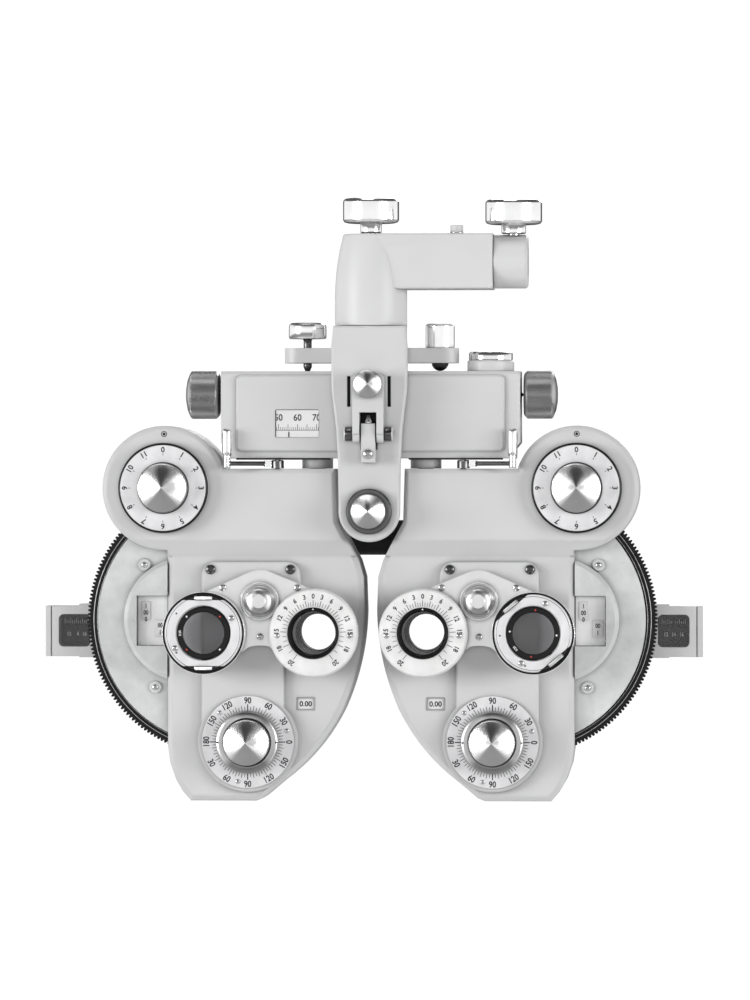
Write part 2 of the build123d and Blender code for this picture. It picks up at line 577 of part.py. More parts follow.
# ------------------------------------------------------------------------------ discs and dials
def weak_sphere_disc():
    """Large thumb-driven lens disc; its serrated ring stands out of the housing."""
    ring = knurl(DISC, DISC_R - 1.3, DISC_R, DISC_TEETH) - disc_at(DISC, DISC_RING_IN_R - 0.5)
    part = flat(ring, -4.0, 4.0)
    web = disc_at(DISC, DISC_RING_IN_R) - lens_holes(DISC, LENS_CIRCLE_R, LENS_HOLE_R, LENS_COUNT)
    part += flat(web, -3.0, 3.0)
    part += bar_y(9.0, -4.0, 4.0, DISC)
    return part - bar_y(SPINDLE_R + RUN, -5, 5, DISC)


def geared_disc(y0, y1):
    """Lens disc driven through its toothed rim by a knob on the lobe."""
    wheel, _ = gear_pair(DISC, LOBE, KNOB_GEARS)
    part = flat(wheel - lens_holes(DISC, LENS_CIRCLE_R, GEARED_HOLE_R, 10), y0, y1)
    part += bar_y(8.0, y0 - 0.8, y1 + 1.2, DISC)
    return part - bar_y(SPINDLE_R + RUN, y0 - 2, y1 + 2, DISC)


def aux_lens_disc():
    return geared_disc(7.0, 10.0)


def strong_sphere_disc():
    return geared_disc(12.2, 15.2)


def aux_dial():
    """Auxiliary lens dial on a hollow shaft with its pinion."""
    _, pinion = gear_pair(DISC, LOBE, KNOB_GEARS)
    part = bar_y(23.0, -27.5, UPPER_FACE_Y - 0.3, LOBE)
    part = chamfer(part.faces().sort_by(Axis.Y)[0].outer_wire().edges(), 0.8)
    part += bar_y(SLEEVE_R, UPPER_FACE_Y - 0.4, 10.4, LOBE) + flat(pinion, 6.8, 10.2)
    return part - bar_y(INNER_SHAFT_R + RUN, -30, 12, LOBE)


def strong_sphere_knob():
    """Strong sphere knob on the shaft that runs through the auxiliary dial."""
    _, pinion = gear_pair(DISC, LOBE, KNOB_GEARS)
    part = spun_knob(12.6, -39.5, -27.7, LOBE)
    return part + bar_y(INNER_SHAFT_R, -27.8, 20.5, LOBE) + flat(pinion, 12.0, 15.4)


def cylinder_disc():
    """Cylinder lens disc inside the front case."""
    wheel, _ = gear_pair(CYL_DISC, CYL_KNOB, CYL_GEARS)
    part = flat(wheel - lens_holes(CYL_DISC, CYL_LENS_CIRCLE_R, CYL_HOLE_R, 7), -12.5, -9.5)
    return part - bar_y(CYL_PIN_R + RUN, -14, -8, CYL_DISC)


def cylinder_knob():
    """Cylinder power knob with its shaft and pinion."""
    _, pinion = gear_pair(CYL_DISC, CYL_KNOB, CYL_GEARS)
    part = spun_knob(11.2, -40.0, -28.2, CYL_KNOB)
    return part + bar_y(3.0, -28.3, -9.4, CYL_KNOB) + flat(pinion, -12.7, -9.4)


def axis_ring():
    """Cylinder axis ring round the power knob, with its sleeve in the case."""
    part = flat(knurl(CYL_KNOB, 15.5, 16.0, 72), -28.0, MESA_Y - 1.7)
    part += bar_y(AXIS_SLEEVE_R, MESA_Y - 1.8, -13.8, CYL_KNOB)
    return part - bar_y(3.0 + RUN, -29, -13, CYL_KNOB)


# ------------------------------------------------------------------------------ turret
def turret_plate():
    """Three-armed plate that brings the prism, the cross cylinder or an open arm before the eye."""
    arms = make_hull([*disc_at(PRISM, 20.0).edges(), *disc_at(TURRET, 15.7).edges()])
    arms += make_hull([*disc_at(JCC, 19.0).edges(), *disc_at(TURRET, 15.7).edges()])
    arms += rect(42.0, 69.6, -12.0, 10.0) - disc_at((TURRET[0], -27.0), 20.4)
    arms -= disc_at(PRISM, PRISM_SPIGOT_R + RUN) + disc_at(JCC, JCC_SPIGOT_R + RUN)
    part = flat(arms, -26.0, -22.5)
    part += bar_y(9.4, -28.5, -26.0, TURRET) + cone_y(8.2, 3.5, -37.0, -28.5, TURRET)
    return part - bar_y(TURRET_PIN_R + RUN, -28.2, -22, TURRET)


def prism_dial():
    """Rotary prism unit: knurled dial with a clear way through it."""
    part = flat(knurl(PRISM, PRISM_R - 0.5, PRISM_R, 90), -33.0, -26.2)
    part += cone_y(PRISM_R - 0.6, PRISM_R - 1.2, -40.0, -33.0, PRISM) + bar_y(12.8, -41.0, -40.0, PRISM)
    part += bar_y(PRISM_SPIGOT_R, -26.3, -22.7, PRISM)
    return part - bar_y(PRISM_BORE_R, -42, -22, PRISM)


def prism_lens():
    return bar_y(PRISM_BORE_R, -32.0, -28.0, PRISM)


def flip_frame(side):
    """Places a part drawn along +X from the cross-cylinder's centre onto its flip axis."""
    return Pos(JCC[0], JCC_Y, JCC[1]) * Rot(0, -FLIP_ANGLE[side], 0)


def jcc_ring(side):
    """Turning ring of the cross cylinder, pocketed for its two thumbwheels."""
    part = bar_y(JCC_R, -38.6, -28.0, JCC) + bar_y(JCC_SPIGOT_R, -28.1, -22.7, JCC)
    part -= bar_y(JCC_BORE_R, -40, -22, JCC)
    for turn in (0, 180):
        pocket = block(JCC_POCKET[0], JCC_R, -5.0, JCC_WHEEL_R + 0.3, -11.0, 11.0)
        pocket = (pocket & bar_y(JCC_POCKET[1], -6.0, 6.0)) + bar_x(1.0 + RUN, 13.0, 17.0)
        part -= flip_frame(side) * Rot(0, turn, 0) * pocket
    return part


def jcc_cell(side):
    """Flip cell of the cross cylinder, with a knurled thumbwheel on each end of its axis."""
    part = bar_y(JCC_CELL_R, JCC_Y - 2.4, JCC_Y + 2.4, JCC) - bar_y(JCC_LENS_R, -40, -30, JCC)
    for turn in (0, 180):
        wheel = bar_x(1.0, 13.0, JCC_WHEEL[0] + 0.1) + Pos(JCC_WHEEL[0], 0, 0) * extrude(
            Plane.YZ * knurl((0, 0), JCC_WHEEL_R - 0.3, JCC_WHEEL_R, 30), amount=JCC_WHEEL[1] - JCC_WHEEL[0]
        )
        part += flip_frame(side) * Rot(0, turn, 0) * wheel
    return part


def jcc_lens(side):
    return bar_y(JCC_LENS_R, JCC_Y - 1.2, JCC_Y + 1.2, JCC)


def vergence_lever():
    """Lever on the housing top that turns the battery inwards for near work."""
    part = bar_z(3.2, CASE_TOP_Z + GAP, 88.0, *LEVER) - bar_z(LEVER_PIN_R + RUN, 80, 90, *LEVER)
    reach = math.dist(LEVER, HANDLE)
    turn = math.degrees(bearing(LEVER, HANDLE))
    part += Pos(LEVER[0], LEVER[1], 86.2) * Rot(0, 0, turn) * bar_x(1.2, 2.6, reach)
    part += bar_z(2.5, 88.4, 104.0, *HANDLE) + bar_z(1.9, 84.6, 88.4, *HANDLE)
    return part


# ------------------------------------------------------------------------------ export
CENTRE = {
    "stand_socket": stand_socket, "socket_clamp_knob": socket_clamp_knob, "arm": arm,
    "swivel_clamp_knob": swivel_clamp_knob, "column": column, "level_bar": level_bar,
    "level_screw": level_screw, "level_plunger": level_plunger, "box_case": box_case,
    "box_cover": box_cover, "bubble_level": bubble_level, "pd_knob_shaft": pd_knob_shaft,
    "near_rod_bracket": near_rod_bracket, "near_rod_clamp_knob": near_rod_clamp_knob,
    "forehead_knob": forehead_knob, "forehead_rest": forehead_rest,
}
BATTERY = {
    "carriage": carriage, "front_case": front_case, "rear_case": rear_case, "disc_cover": disc_cover,
    "axis_scale_plate": axis_scale_plate, "vertex_window": vertex_window, "face_shield": face_shield,
    "weak_sphere_disc": weak_sphere_disc, "aux_lens_disc": aux_lens_disc,
    "strong_sphere_disc": strong_sphere_disc, "cylinder_disc": cylinder_disc, "aux_dial": aux_dial,
    "strong_sphere_knob": strong_sphere_knob, "cylinder_knob": cylinder_knob, "axis_ring": axis_ring,
    "turret_plate": turret_plate, "prism_dial": prism_dial, "prism_lens": prism_lens,
    "vergence_lever": vergence_lever,
}
HANDED = {"jcc_ring": jcc_ring, "jcc_cell": jcc_cell, "jcc_lens": jcc_lens}


def save(name, part):
    """Writes one piece, moved so that the row origin is the stand socket's mouth."""
    placed = Pos(*(-value for value in ORIGIN)) * part
    placed.label = name
    export_step(placed, os.path.join("parts", name + ".step"))


os.makedirs("parts", exist_ok=True)
for name, build in CENTRE.items():
    save(name, build())
for name, build in BATTERY.items():
    piece = build()
    save(name + "_right", piece)
    save(name + "_left", mirror(piece, Plane.YZ))
for name, build in HANDED.items():
    save(name + "_right", build("right"))
    save(name + "_left", mirror(build("left"), Plane.YZ))
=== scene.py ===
"""Looks of a manual phoropter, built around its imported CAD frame."""
import json
import math

import bmesh
import bpy
from mathutils import Matrix, Vector


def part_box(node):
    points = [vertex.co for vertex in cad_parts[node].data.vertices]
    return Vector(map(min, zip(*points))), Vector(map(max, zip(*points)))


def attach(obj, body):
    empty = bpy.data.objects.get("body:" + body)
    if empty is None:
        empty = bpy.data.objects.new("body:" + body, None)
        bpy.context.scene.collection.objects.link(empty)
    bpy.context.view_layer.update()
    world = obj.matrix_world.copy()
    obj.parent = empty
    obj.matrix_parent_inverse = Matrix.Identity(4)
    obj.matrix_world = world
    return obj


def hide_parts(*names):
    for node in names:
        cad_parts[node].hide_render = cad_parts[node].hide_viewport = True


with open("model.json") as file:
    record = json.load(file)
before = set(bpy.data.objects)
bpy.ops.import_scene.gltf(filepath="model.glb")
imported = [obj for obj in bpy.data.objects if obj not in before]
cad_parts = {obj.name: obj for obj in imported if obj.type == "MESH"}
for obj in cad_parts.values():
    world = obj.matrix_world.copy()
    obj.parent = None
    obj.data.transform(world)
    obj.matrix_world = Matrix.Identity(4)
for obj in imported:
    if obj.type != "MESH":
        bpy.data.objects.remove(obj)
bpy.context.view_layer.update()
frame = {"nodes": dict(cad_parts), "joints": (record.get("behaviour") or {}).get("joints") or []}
nodes = frame["nodes"]
MM = 0.001
SIDES = ("left", "right")

# Places in mm about the frame's zero that no CAD box gives.
SIGHT_X = 27.8                          # sight bore of each battery, from the middle
PD_WINDOW_X, PD_WINDOW_Z = -37.3, 106.6
STOP_PIN = (43.9, -11.5, 203.6)         # where the stop pin's head stands on the arm


# ------------------------------------------------------------------ places, all read from the frame
def mid(node):
    low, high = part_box(node)
    return (low + high) / 2


ZERO = Vector((mid("column").x, mid("weak_sphere_disc_right").y, mid("prism_dial_right").z))


def place(x, y, z):
    """A point in metres, from mm about the mid plane, the weak sphere disc and eye level."""
    return ZERO + Vector((x, y, z)) * MM


def span(node):
    """x0, x1, y0, y1, z0, z1 of a CAD node, in mm about the frame's zero."""
    low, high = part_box(node)
    a, b = (low - ZERO) / MM, (high - ZERO) / MM
    return a.x, b.x, a.y, b.y, a.z, b.z


JOINTS = {joint["name"]: joint for joint in frame["joints"]}


def pivot(joint):
    """A joint's point, in mm about the frame's zero."""
    return (Vector(JOINTS[joint]["pos_m"]) - ZERO) / MM


def face_of(node, back=0.0):
    """Middle of a CAD node's front face, or a point that many mm behind it."""
    x0, x1, y0, _, z0, z1 = span(node)
    return place((x0 + x1) / 2, y0 + back, (z0 + z1) / 2)


def sign(side):
    return 1.0 if side == "right" else -1.0


def polar(r, angle, centre=(0, 0)):
    return (centre[0] + r * math.cos(angle), centre[1] + r * math.sin(angle))


# ------------------------------------------------------------------ materials
class Tree:
    """Short hand for one node tree."""

    def __init__(self, tree):
        self.tree = tree
        tree.nodes.clear()

    def add(self, kind, **values):
        """A new node; values name its attributes or, with _ for a space, its inputs."""
        node = self.tree.nodes.new(kind)
        for key, value in values.items():
            if hasattr(node, key):
                setattr(node, key, value)
            else:
                node.inputs[key.replace("_", " ")].default_value = value
        return node

    def link(self, a, out, b, inp):
        self.tree.links.new(a.outputs[out], b.inputs[inp])

    def math(self, operation, source, out, *numbers):
        node = self.add("ShaderNodeMath", operation=operation)
        self.link(source, out, node, 0)
        for index, number in enumerate(numbers, 1):
            node.inputs[index].default_value = number
        return node

    def axes(self, source, out):
        split = self.add("ShaderNodeSeparateXYZ")
        self.link(source, out, split, "Vector")
        return split

    def levels(self, source, out, stops):
        """Colour ramp through (position, colour) stops."""
        ramp = self.add("ShaderNodeValToRGB")
        marks = ramp.color_ramp.elements
        for position, _ in stops[2:]:
            marks.new(position)
        for mark, (position, colour) in zip(marks, stops):
            mark.position = position
            mark.color = colour
        self.link(source, out, ramp, "Fac")
        return ramp

    def scaled(self, colour, factor, out):
        """A ramp's colour times a number."""
        scale = self.add("ShaderNodeVectorMath", operation="SCALE")
        self.link(colour, "Color", scale, 0)
        self.link(factor, out, scale, "Scale")
        return scale


class Nodes(Tree):
    """Node material with one principled shader."""

    def __init__(self, name):
        self.material = bpy.data.materials.new(name)
        self.material.use_nodes = True
        super().__init__(self.material.node_tree)
        self.out = self.add("ShaderNodeOutputMaterial")
        self.bsdf = self.add("ShaderNodeBsdfPrincipled")
        self.link(self.bsdf, "BSDF", self.out, "Surface")

    def set(self, **values):
        for key, value in values.items():
            self.bsdf.inputs[key.replace("_", " ")].default_value = value

    def noise(self, size_mm, detail=3.0, scale=(1, 1, 1)):
        """Noise whose features are about size_mm across."""
        where = self.add("ShaderNodeMapping", Scale=scale)
        self.link(self.add("ShaderNodeTexCoord"), "Object", where, "Vector")
        tex = self.add("ShaderNodeTexNoise", Scale=1000.0 / size_mm, Detail=detail)
        self.link(where, "Vector", tex, "Vector")
        return tex

    def drift(self, noise, low, high, value, darker, lighter, tint):
        """Colour that wanders between a little darker and a little lighter than value."""
        ends = (grey(value * darker, tint), grey(min(1.0, value * lighter), tint))
        return self.levels(noise, "Fac", list(zip((low, high), ends)))

    def rough(self, source, low, high):
        span = self.add("ShaderNodeMapRange", To_Min=low, To_Max=high)
        self.link(source, "Fac", span, "Value")
        self.link(span, "Result", self.bsdf, "Roughness")

    def bump(self, source, out, height_mm, strength, round_mm=0.0):
        """Surface relief, on edges that look rounded by round_mm."""
        bump = self.add("ShaderNodeBump", Distance=height_mm * MM, Strength=strength)
        self.link(source, out, bump, "Height")
        if round_mm:
            edge = self.add("ShaderNodeBevel", samples=4, Radius=round_mm * MM)
            self.link(edge, "Normal", bump, "Normal")
        self.link(bump, "Normal", self.bsdf, "Normal")

    def crease(self, colour, reach_mm, darkest):
        """Painted shade: colour that goes darker in corners and gaps, where ambient occlusion finds them."""
        shade = self.add("ShaderNodeAmbientOcclusion", samples=6, Distance=reach_mm * MM)
        span = self.add("ShaderNodeMapRange", From_Min=0.2, From_Max=0.92, To_Min=darkest)
        self.link(shade, "AO", span, "Value")
        self.link(self.scaled(colour, span, "Result"), "Vector", self.bsdf, "Base Color")


def grey(value, tint=(1.0, 1.0, 1.0)):
    return (value * tint[0], value * tint[1], value * tint[2], 1.0)


COOL = (0.995, 0.995, 1.0)


def paint(name, value, rough=0.42, round_mm=0.7):
    """Sprayed enamel: fine orange peel, faint tone drift, a little clear coat."""
    m = Nodes(name)
    # painted shade: the colour goes darker in corners and gaps
    m.crease(m.drift(m.noise(38.0, 2.0), 0.3, 0.7, value, 0.965, 1.02, COOL), 3.2, 0.42)
    m.rough(m.noise(6.0), rough - 0.06, rough + 0.08)
    m.bump(m.noise(0.9, 2.0), "Fac", 0.012, 0.55, round_mm)
    m.set(Coat_Weight=0.12, Coat_Roughness=0.3, Specular_IOR_Level=0.45)
    return m.material


def plastic(name, value, rough=0.35, tint=(1, 1, 1), grain=0.35, height=0.01, round_mm=0.3):
    """Moulded or leathery surface with a fine grain."""
    m = Nodes(name)
    # painted shade: the colour goes darker in corners and gaps
    m.crease(m.drift(m.noise(9.0), 0.3, 0.7, value, 0.9, 1.08, tint), 3.0, 0.45)
    m.set(Specular_IOR_Level=0.5 if value > 0.3 else 0.22)
    m.rough(m.noise(3.0), rough - 0.05, rough + 0.08)
    m.bump(m.noise(grain, 2.0), "Fac", height, 0.6, round_mm)
    return m.material


def metal(name, value, rough, tint, grain, grain_mm, round_mm, height=0.004):
    """Machined metal with fine tool marks and faint smudges; grain stretches the marks."""
    m = Nodes(name)
    smudge = m.noise(7.0, 4.0)
    # painted shade: the colour goes darker in corners and gaps
    m.crease(m.drift(smudge, 0.25, 0.75, value, 0.93, 1.04, tint), 2.5, 0.3)
    m.rough(smudge, rough * 0.8, rough * 1.3)
    m.bump(m.noise(grain_mm, 2.0, grain), "Fac", height, 0.5, round_mm)
    m.set(Metallic=1.0)
    return m.material


# Painted highlight and shade of a turned cone: brightness put into its colour against the direction it faces,
# in degrees from +X towards +Z.
PAINTED_LIGHT_WEDGES = ((-180, 1.0), (-142, 1.0), (-126, 0.47), (-50, 0.47), (-36, 1.0),
          (34, 1.0), (46, 0.55), (100, 0.55), (114, 1.0))


def spun(name, value, rough=0.26, aniso=0.93):
    """Lathe-turned aluminium: concentric cuts and anisotropic shine, with a bow tie of light and dark painted
    into its colour by the direction each face points.
    """
    m = Nodes(name)
    where = m.axes(m.add("ShaderNodeTexCoord"), "Object")
    flat = m.add("ShaderNodeCombineXYZ")
    m.link(where, "X", flat, "X")
    m.link(where, "Z", flat, "Y")
    radius = m.add("ShaderNodeVectorMath", operation="LENGTH")
    m.link(flat, "Vector", radius, 0)
    cuts = m.math("SINE", m.math("MULTIPLY", radius, "Value", 2 * math.pi / (0.35 * MM)), "Value")
    m.bump(cuts, "Value", 0.0012, 0.3)
    smudge = m.noise(5.0)
    m.rough(smudge, rough * 0.92, rough * 1.1)
    # painted highlight and shade: lighter and darker wedges by the direction the surface faces
    facing = m.axes(m.add("ShaderNodeNewGeometry"), "Normal")
    angle = m.math("ARCTAN2", facing, "Z")
    m.link(facing, "X", angle, 1)
    turn = m.math("MULTIPLY_ADD", angle, "Value", 0.5 / math.pi, 0.5)
    painted_light = m.levels(turn, "Value", [(degrees / 360 + 0.5, grey(level)) for degrees, level in PAINTED_LIGHT_WEDGES])
    tone = m.drift(smudge, 0.25, 0.75, value, 0.94, 1.03, (1, 1, 1))
    m.link(m.scaled(tone, painted_light, "Color"), "Vector", m.bsdf, "Base Color")
    tangent = m.add("ShaderNodeTangent", direction_type="RADIAL", axis="Y")
    m.link(tangent, "Tangent", m.bsdf, "Tangent")
    m.set(Metallic=1.0, Anisotropic=aniso)
    return m.material


def glass(name, clearness, tint=(1, 1, 1)):
    """Thin coated glass: clear, with a faint smeary reflection."""
    m = Nodes(name)
    clear = m.add("ShaderNodeBsdfTransparent", Color=grey(clearness, tint))
    gloss = m.add("ShaderNodeBsdfGlossy")
    smear = m.levels(m.noise(6.0), "Fac", ((0.3, grey(0.02)), (0.8, grey(0.09))))
    m.link(smear, "Color", gloss, "Roughness")
    mix = m.add("ShaderNodeMixShader")
    m.link(m.add("ShaderNodeFresnel", IOR=1.45), "Fac", mix, "Fac")
    m.link(clear, "BSDF", mix, 1)
    m.link(gloss, "BSDF", mix, 2)
    m.link(mix, "Shader", m.out, "Surface")
    return m.material


def glow(material, strength):
    """Lets a pale material shine a little by itself."""
    shader = material.node_tree.nodes["Principled BSDF"]
    shader.inputs["Emission Color"].default_value = grey(1.0)
    shader.inputs["Emission Strength"].default_value = strength
    return shader


EVEN = (1, 1, 1)
MAT = {
    "paint": paint("paint_body", 0.60),
    # paint_arm is the body paint made a little lighter: painted light where the arm's cone catches more light
    "paint_arm": paint("paint_arm", 0.63, 0.45, 1.2),
    "paint_case": paint("paint_case", 0.60, 0.42, 2.2),
    "paint_dark": paint("paint_dark", 0.42, 0.5),
    "cover": plastic("cover_plastic", 0.60, 0.28, (0.99, 1.0, 1.0), 0.5, 0.003, 0.5),
    "black": plastic("black_plastic", 0.008, 0.35, (1, 1, 1.03), 0.3, 0.006, 0.15),
    "tube": plastic("tube_black", 0.003, 0.45, (1, 1, 1.05), 0.3, 0.006),
    # black for the painted shadow under the box
    "underside_shadow": plastic("underside_shadow_black", 0.02, 0.62, EVEN, 0.25, 0.02),
    "white": plastic("dial_white", 0.76, 0.4, (1, 1, 0.995), 0.2, 0.003, 0.12),
    "satin_dial": plastic("satin_dial", 0.76, 0.34, (1.0, 0.995, 1.01), 0.25, 0.004, 0.2),
    "scale_white": plastic("scale_white", 0.9, 0.4, EVEN, 0.2, 0.003, 0.1),
    "window_grey": plastic("window_grey", 0.72, 0.3, (1, 1, 1.01), 0.3, 0.003, 0.2),
    "shield": plastic("shield_white", 0.72, 0.45, COOL, 0.4, 0.01, 0.4),
    "fluid": plastic("level_fluid", 0.05, 0.15, (0.9, 1.0, 0.7), 0.5, 0.0),
    "leather": plastic("pad_leather", 0.022, 0.5, EVEN, 0.9, 0.06, 0.0),
    "ink": plastic("ink_black", 0.02, 0.5, EVEN, 0.2, 0.001),
    "ink_white": plastic("ink_white", 0.85, 0.5, EVEN, 0.2, 0.001),
    "ink_red": plastic("ink_red", 0.5, 0.5, (1.0, 0.08, 0.05), 0.2, 0.001),
    "chrome": metal("chrome", 0.82, 0.09, (1, 1, 1.01), EVEN, 0.8, 0.2, 0.0015),
    "bright": metal("bright_chrome", 0.90, 0.14, (1, 1, 1.005), EVEN, 0.5, 0.2, 0.002),
    "steel": metal("steel_screw", 0.62, 0.22, (1, 1, 1.01), EVEN, 0.4, 0.12),
    "dark_steel": metal("dark_steel", 0.13, 0.24, (1, 1, 1.02), (12, 1, 1), 0.4, 0.2),
    "collar": metal("collar_steel", 0.16, 0.35, (1, 1, 1.02), EVEN, 0.4, 0.2, 0.003),
    "ribbed": metal("ribbed_steel", 0.50, 0.28, (1, 1, 1.01), (14, 1, 1), 0.4, 0.1, 0.003),
    "satin": metal("satin_silver", 0.87, 0.36, EVEN, EVEN, 0.35, 0.5, 0.006),
    "alu": metal("machined_alu", 0.74, 0.30, EVEN, (1, 1, 8), 0.4, 0.2),
    # the three spun materials carry painted highlight and shade wedges in their colour
    "spun": spun("spun_alu", 0.86),
    "spun_soft": spun("spun_soft", 0.82, 0.34, 0.55),
    "spun_ring": spun("spun_ring", 0.60, 0.30, 0.6),
    "glass": glass("clear_glass", 1.0),
    "lens": glass("coated_lens", 0.90, (0.97, 0.97, 0.98)),
}
MAT["satin_dial"].node_tree.nodes["Principled BSDF"].inputs["Metallic"].default_value = 0.3
# Painted light: the pupil-distance scale and the number windows glow a little by themselves, to lift them out
# of the shade of their recesses.
glow(MAT["scale_white"], 0.6)
glow(MAT["window_grey"], 0.12)


# ------------------------------------------------------------------ mesh helpers
def link(name, data):
    obj = bpy.data.objects.new(name, data)
    bpy.context.scene.collection.objects.link(obj)
    return obj


def smooth(mesh, sharp):
    """Smooth shading, with edges sharper than that many degrees kept hard."""
    mesh.polygons.foreach_set("use_smooth", [True] * len(mesh.polygons))
    mesh.set_sharp_from_angle(angle=math.radians(sharp))


def final_mesh(obj):
    """Mesh of an object with its modifiers applied."""
    return bpy.data.meshes.new_from_object(obj.evaluated_get(bpy.context.evaluated_depsgraph_get()))


def piece(name, shape, mats, body=None, slot=None, at=(0, 0, 0), replaces=(), sharp=32.0, bevel=0.0):
    """A new mesh object from a Shape, which is in mm about the point at."""
    mesh = bpy.data.meshes.new(name)
    mesh.from_pydata([Vector(v) * MM for v in shape.v], [], shape.f)
    for mat in mats:
        mesh.materials.append(MAT[mat])
    mesh.polygons.foreach_set("material_index", shape.m)
    bm = bmesh.new()
    bm.from_mesh(mesh)
    bmesh.ops.recalc_face_normals(bm, faces=bm.faces)
    bmesh.ops.delete(bm, geom=[v for v in bm.verts if not v.link_faces], context="VERTS")
    bm.to_mesh(mesh)
    bm.free()
    smooth(mesh, sharp)
    obj = link(name, mesh)
    obj.location = at
    if bevel:
        mod = obj.modifiers.new("bevel", "BEVEL")
        mod.width = bevel * MM
        mod.segments = 2
        mod.limit_method = "ANGLE"
        mod.angle_limit = math.radians(40)
    if body:
        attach(obj, body)
    if replaces:
        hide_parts(*replaces)
    return obj


def band(r0, r1, a0, a1):
    """Closed profile of a square-edged ring."""
    return [(r0, a0), (r1, a0), (r1, a1), (r0, a1), (r0, a0)]


class Shape:
    """Collects several solids of one piece, in mm about a point."""

    def __init__(self):
        self.v, self.f, self.m = [], [], []

    def add(self, verts, faces, mat=0):
        base = len(self.v)
        self.v += [tuple(p) for p in verts]
        self.f += [tuple(i + base for i in face) for face in faces]
        self.m += [mat] * len(faces)
        return self

    def lathe(self, profile, mat=0, segs=96, axis="Y", at=(0, 0, 0), teeth=None):
        """Closed body of revolution from (radius, along) points; teeth=(first, last, depth, count)
        lets the points first..last stand in and out as knurling."""
        verts, faces, rows = [], [], []
        for index, (r, along) in enumerate(profile):
            toothed = teeth and teeth[0] <= index <= teeth[1]
            row = range(len(verts), len(verts) + (segs if r > 1e-6 else 1))
            for k in range(len(row)):
                low = toothed and (k * teeth[3] / segs) % 1.0 >= 0.5
                verts.append(self.spin(r - teeth[2] if low else r, along, 2 * math.pi * k / segs, axis, at))
            rows.append(row)
        for one, two in zip(rows, rows[1:]):
            for k in range(segs):
                n = (k + 1) % segs
                quad = [one[k % len(one)], one[n % len(one)], two[n % len(two)], two[k % len(two)]]
                face = tuple(dict.fromkeys(quad))
                if len(face) > 2:
                    faces.append(face)
        if profile[0] == profile[-1]:
            first = dict(zip(rows[-1], rows[0]))
            faces = [tuple(first.get(i, i) for i in face) for face in faces]
        else:
            faces += [tuple(row) for row in (rows[0], rows[-1]) if len(row) > 1]
        return self.add(verts, faces, mat)

    @staticmethod
    def spin(r, a, angle, axis, at):
        u, w = r * math.cos(angle), r * math.sin(angle)
        if axis == "Y":
            return (at[0] + u, at[1] + a, at[2] + w)
        if axis == "Z":
            return (at[0] + u, at[1] + w, at[2] + a)
        return (at[0] + a, at[1] + u, at[2] + w)

    def slab(self, outline, y0, y1, mat=0):
        """Outline in X-Z between y0 and y1."""
        n = len(outline)
        verts = [(x, y0, z) for x, z in outline] + [(x, y1, z) for x, z in outline]
        faces = [tuple(range(n)), tuple(range(2 * n - 1, n - 1, -1))]
        faces += [(k, (k + 1) % n, (k + 1) % n + n, k + n) for k in range(n)]
        return self.add(verts, faces, mat)

    def box(self, x0, x1, y0, y1, z0, z1, mat=0):
        return self.slab([(x0, z0), (x1, z0), (x1, z1), (x0, z1)], y0, y1, mat)

    def add_turned(self, part, angle, mat):
        """Adds another shape's solids, turned about the Y axis."""
        c, s = math.cos(angle), math.sin(angle)
        return self.add([(x * c - z * s, y, x * s + z * c) for x, y, z in part.v], part.f, mat)

    def make(self, name, mats, body, slot=None, **more):
        return piece(name, self, mats, body, slot, **more)


def circle(r, n, centre=(0, 0)):
    return [polar(r, 2 * math.pi * k / n, centre) for k in range(n)]


GLYPHS = {}
DIGIT_HEIGHT = 0.7      # of a digit in the font, whose size is one unit


def glyphs(text):
    """Flat outline mesh of a number in font units, centred."""
    if text not in GLYPHS:
        curve = bpy.data.curves.new("glyph", "FONT")
        curve.body = text
        curve.align_x = "CENTER"
        curve.resolution_u = 3
        curve.extrude = 0.03
        curve.offset = 0.022
        obj = link("glyph", curve)
        bpy.context.view_layer.update()
        mesh = final_mesh(obj)
        verts = [(v.co.x, v.co.y - DIGIT_HEIGHT / 2, v.co.z) for v in mesh.vertices]
        faces = [tuple(p.vertices) for p in mesh.polygons]
        bpy.data.objects.remove(obj)
        bpy.data.curves.remove(curve)
        bpy.data.meshes.remove(mesh)
        GLYPHS[text] = (verts, faces)
    return GLYPHS[text]


class Ink(Shape):
    """Printed marks on a face that looks along -Y, in mm about a point on the face."""
    RISE = 0.03

    def text(self, text, x, z, size, turn=0.0, mat=0, wide=1.0):
        verts, faces = glyphs(text)
        c, s = math.cos(turn), math.sin(turn)
        out = []
        for u, v, w in verts:
            u, v = u * size * wide / DIGIT_HEIGHT, v * size / DIGIT_HEIGHT
            out.append((x + u * c - v * s, -self.RISE - w * 0.6, z + u * s + v * c))
        return self.add(out, faces, mat)

    def flat(self, outline, mat=0):
        return self.slab(outline, -2 * self.RISE, 0.0, mat)

    def tick(self, r0, r1, angle, width, centre=(0, 0)):
        c, s = math.cos(angle), math.sin(angle)
        h = width / 2
        return self.flat([(centre[0] + r * c - w * s, centre[1] + r * s + w * c)
                          for r, w in ((r0, -h), (r1, -h), (r1, h), (r0, h))])

    def dot(self, x, z, r, mat=0):
        return self.flat(circle(r, 20, (x, z)), mat)

    def ring(self, r0, r1, centre):
        return self.lathe(band(r0, r1, 0.0, -2 * self.RISE), 0, 32, "Y", (centre[0], 0, centre[1]))

    def tri(self, x, z, size, turn):
        return self.flat([polar(size, turn + a, (x, z)) for a in (0, 2.2, -2.2)])


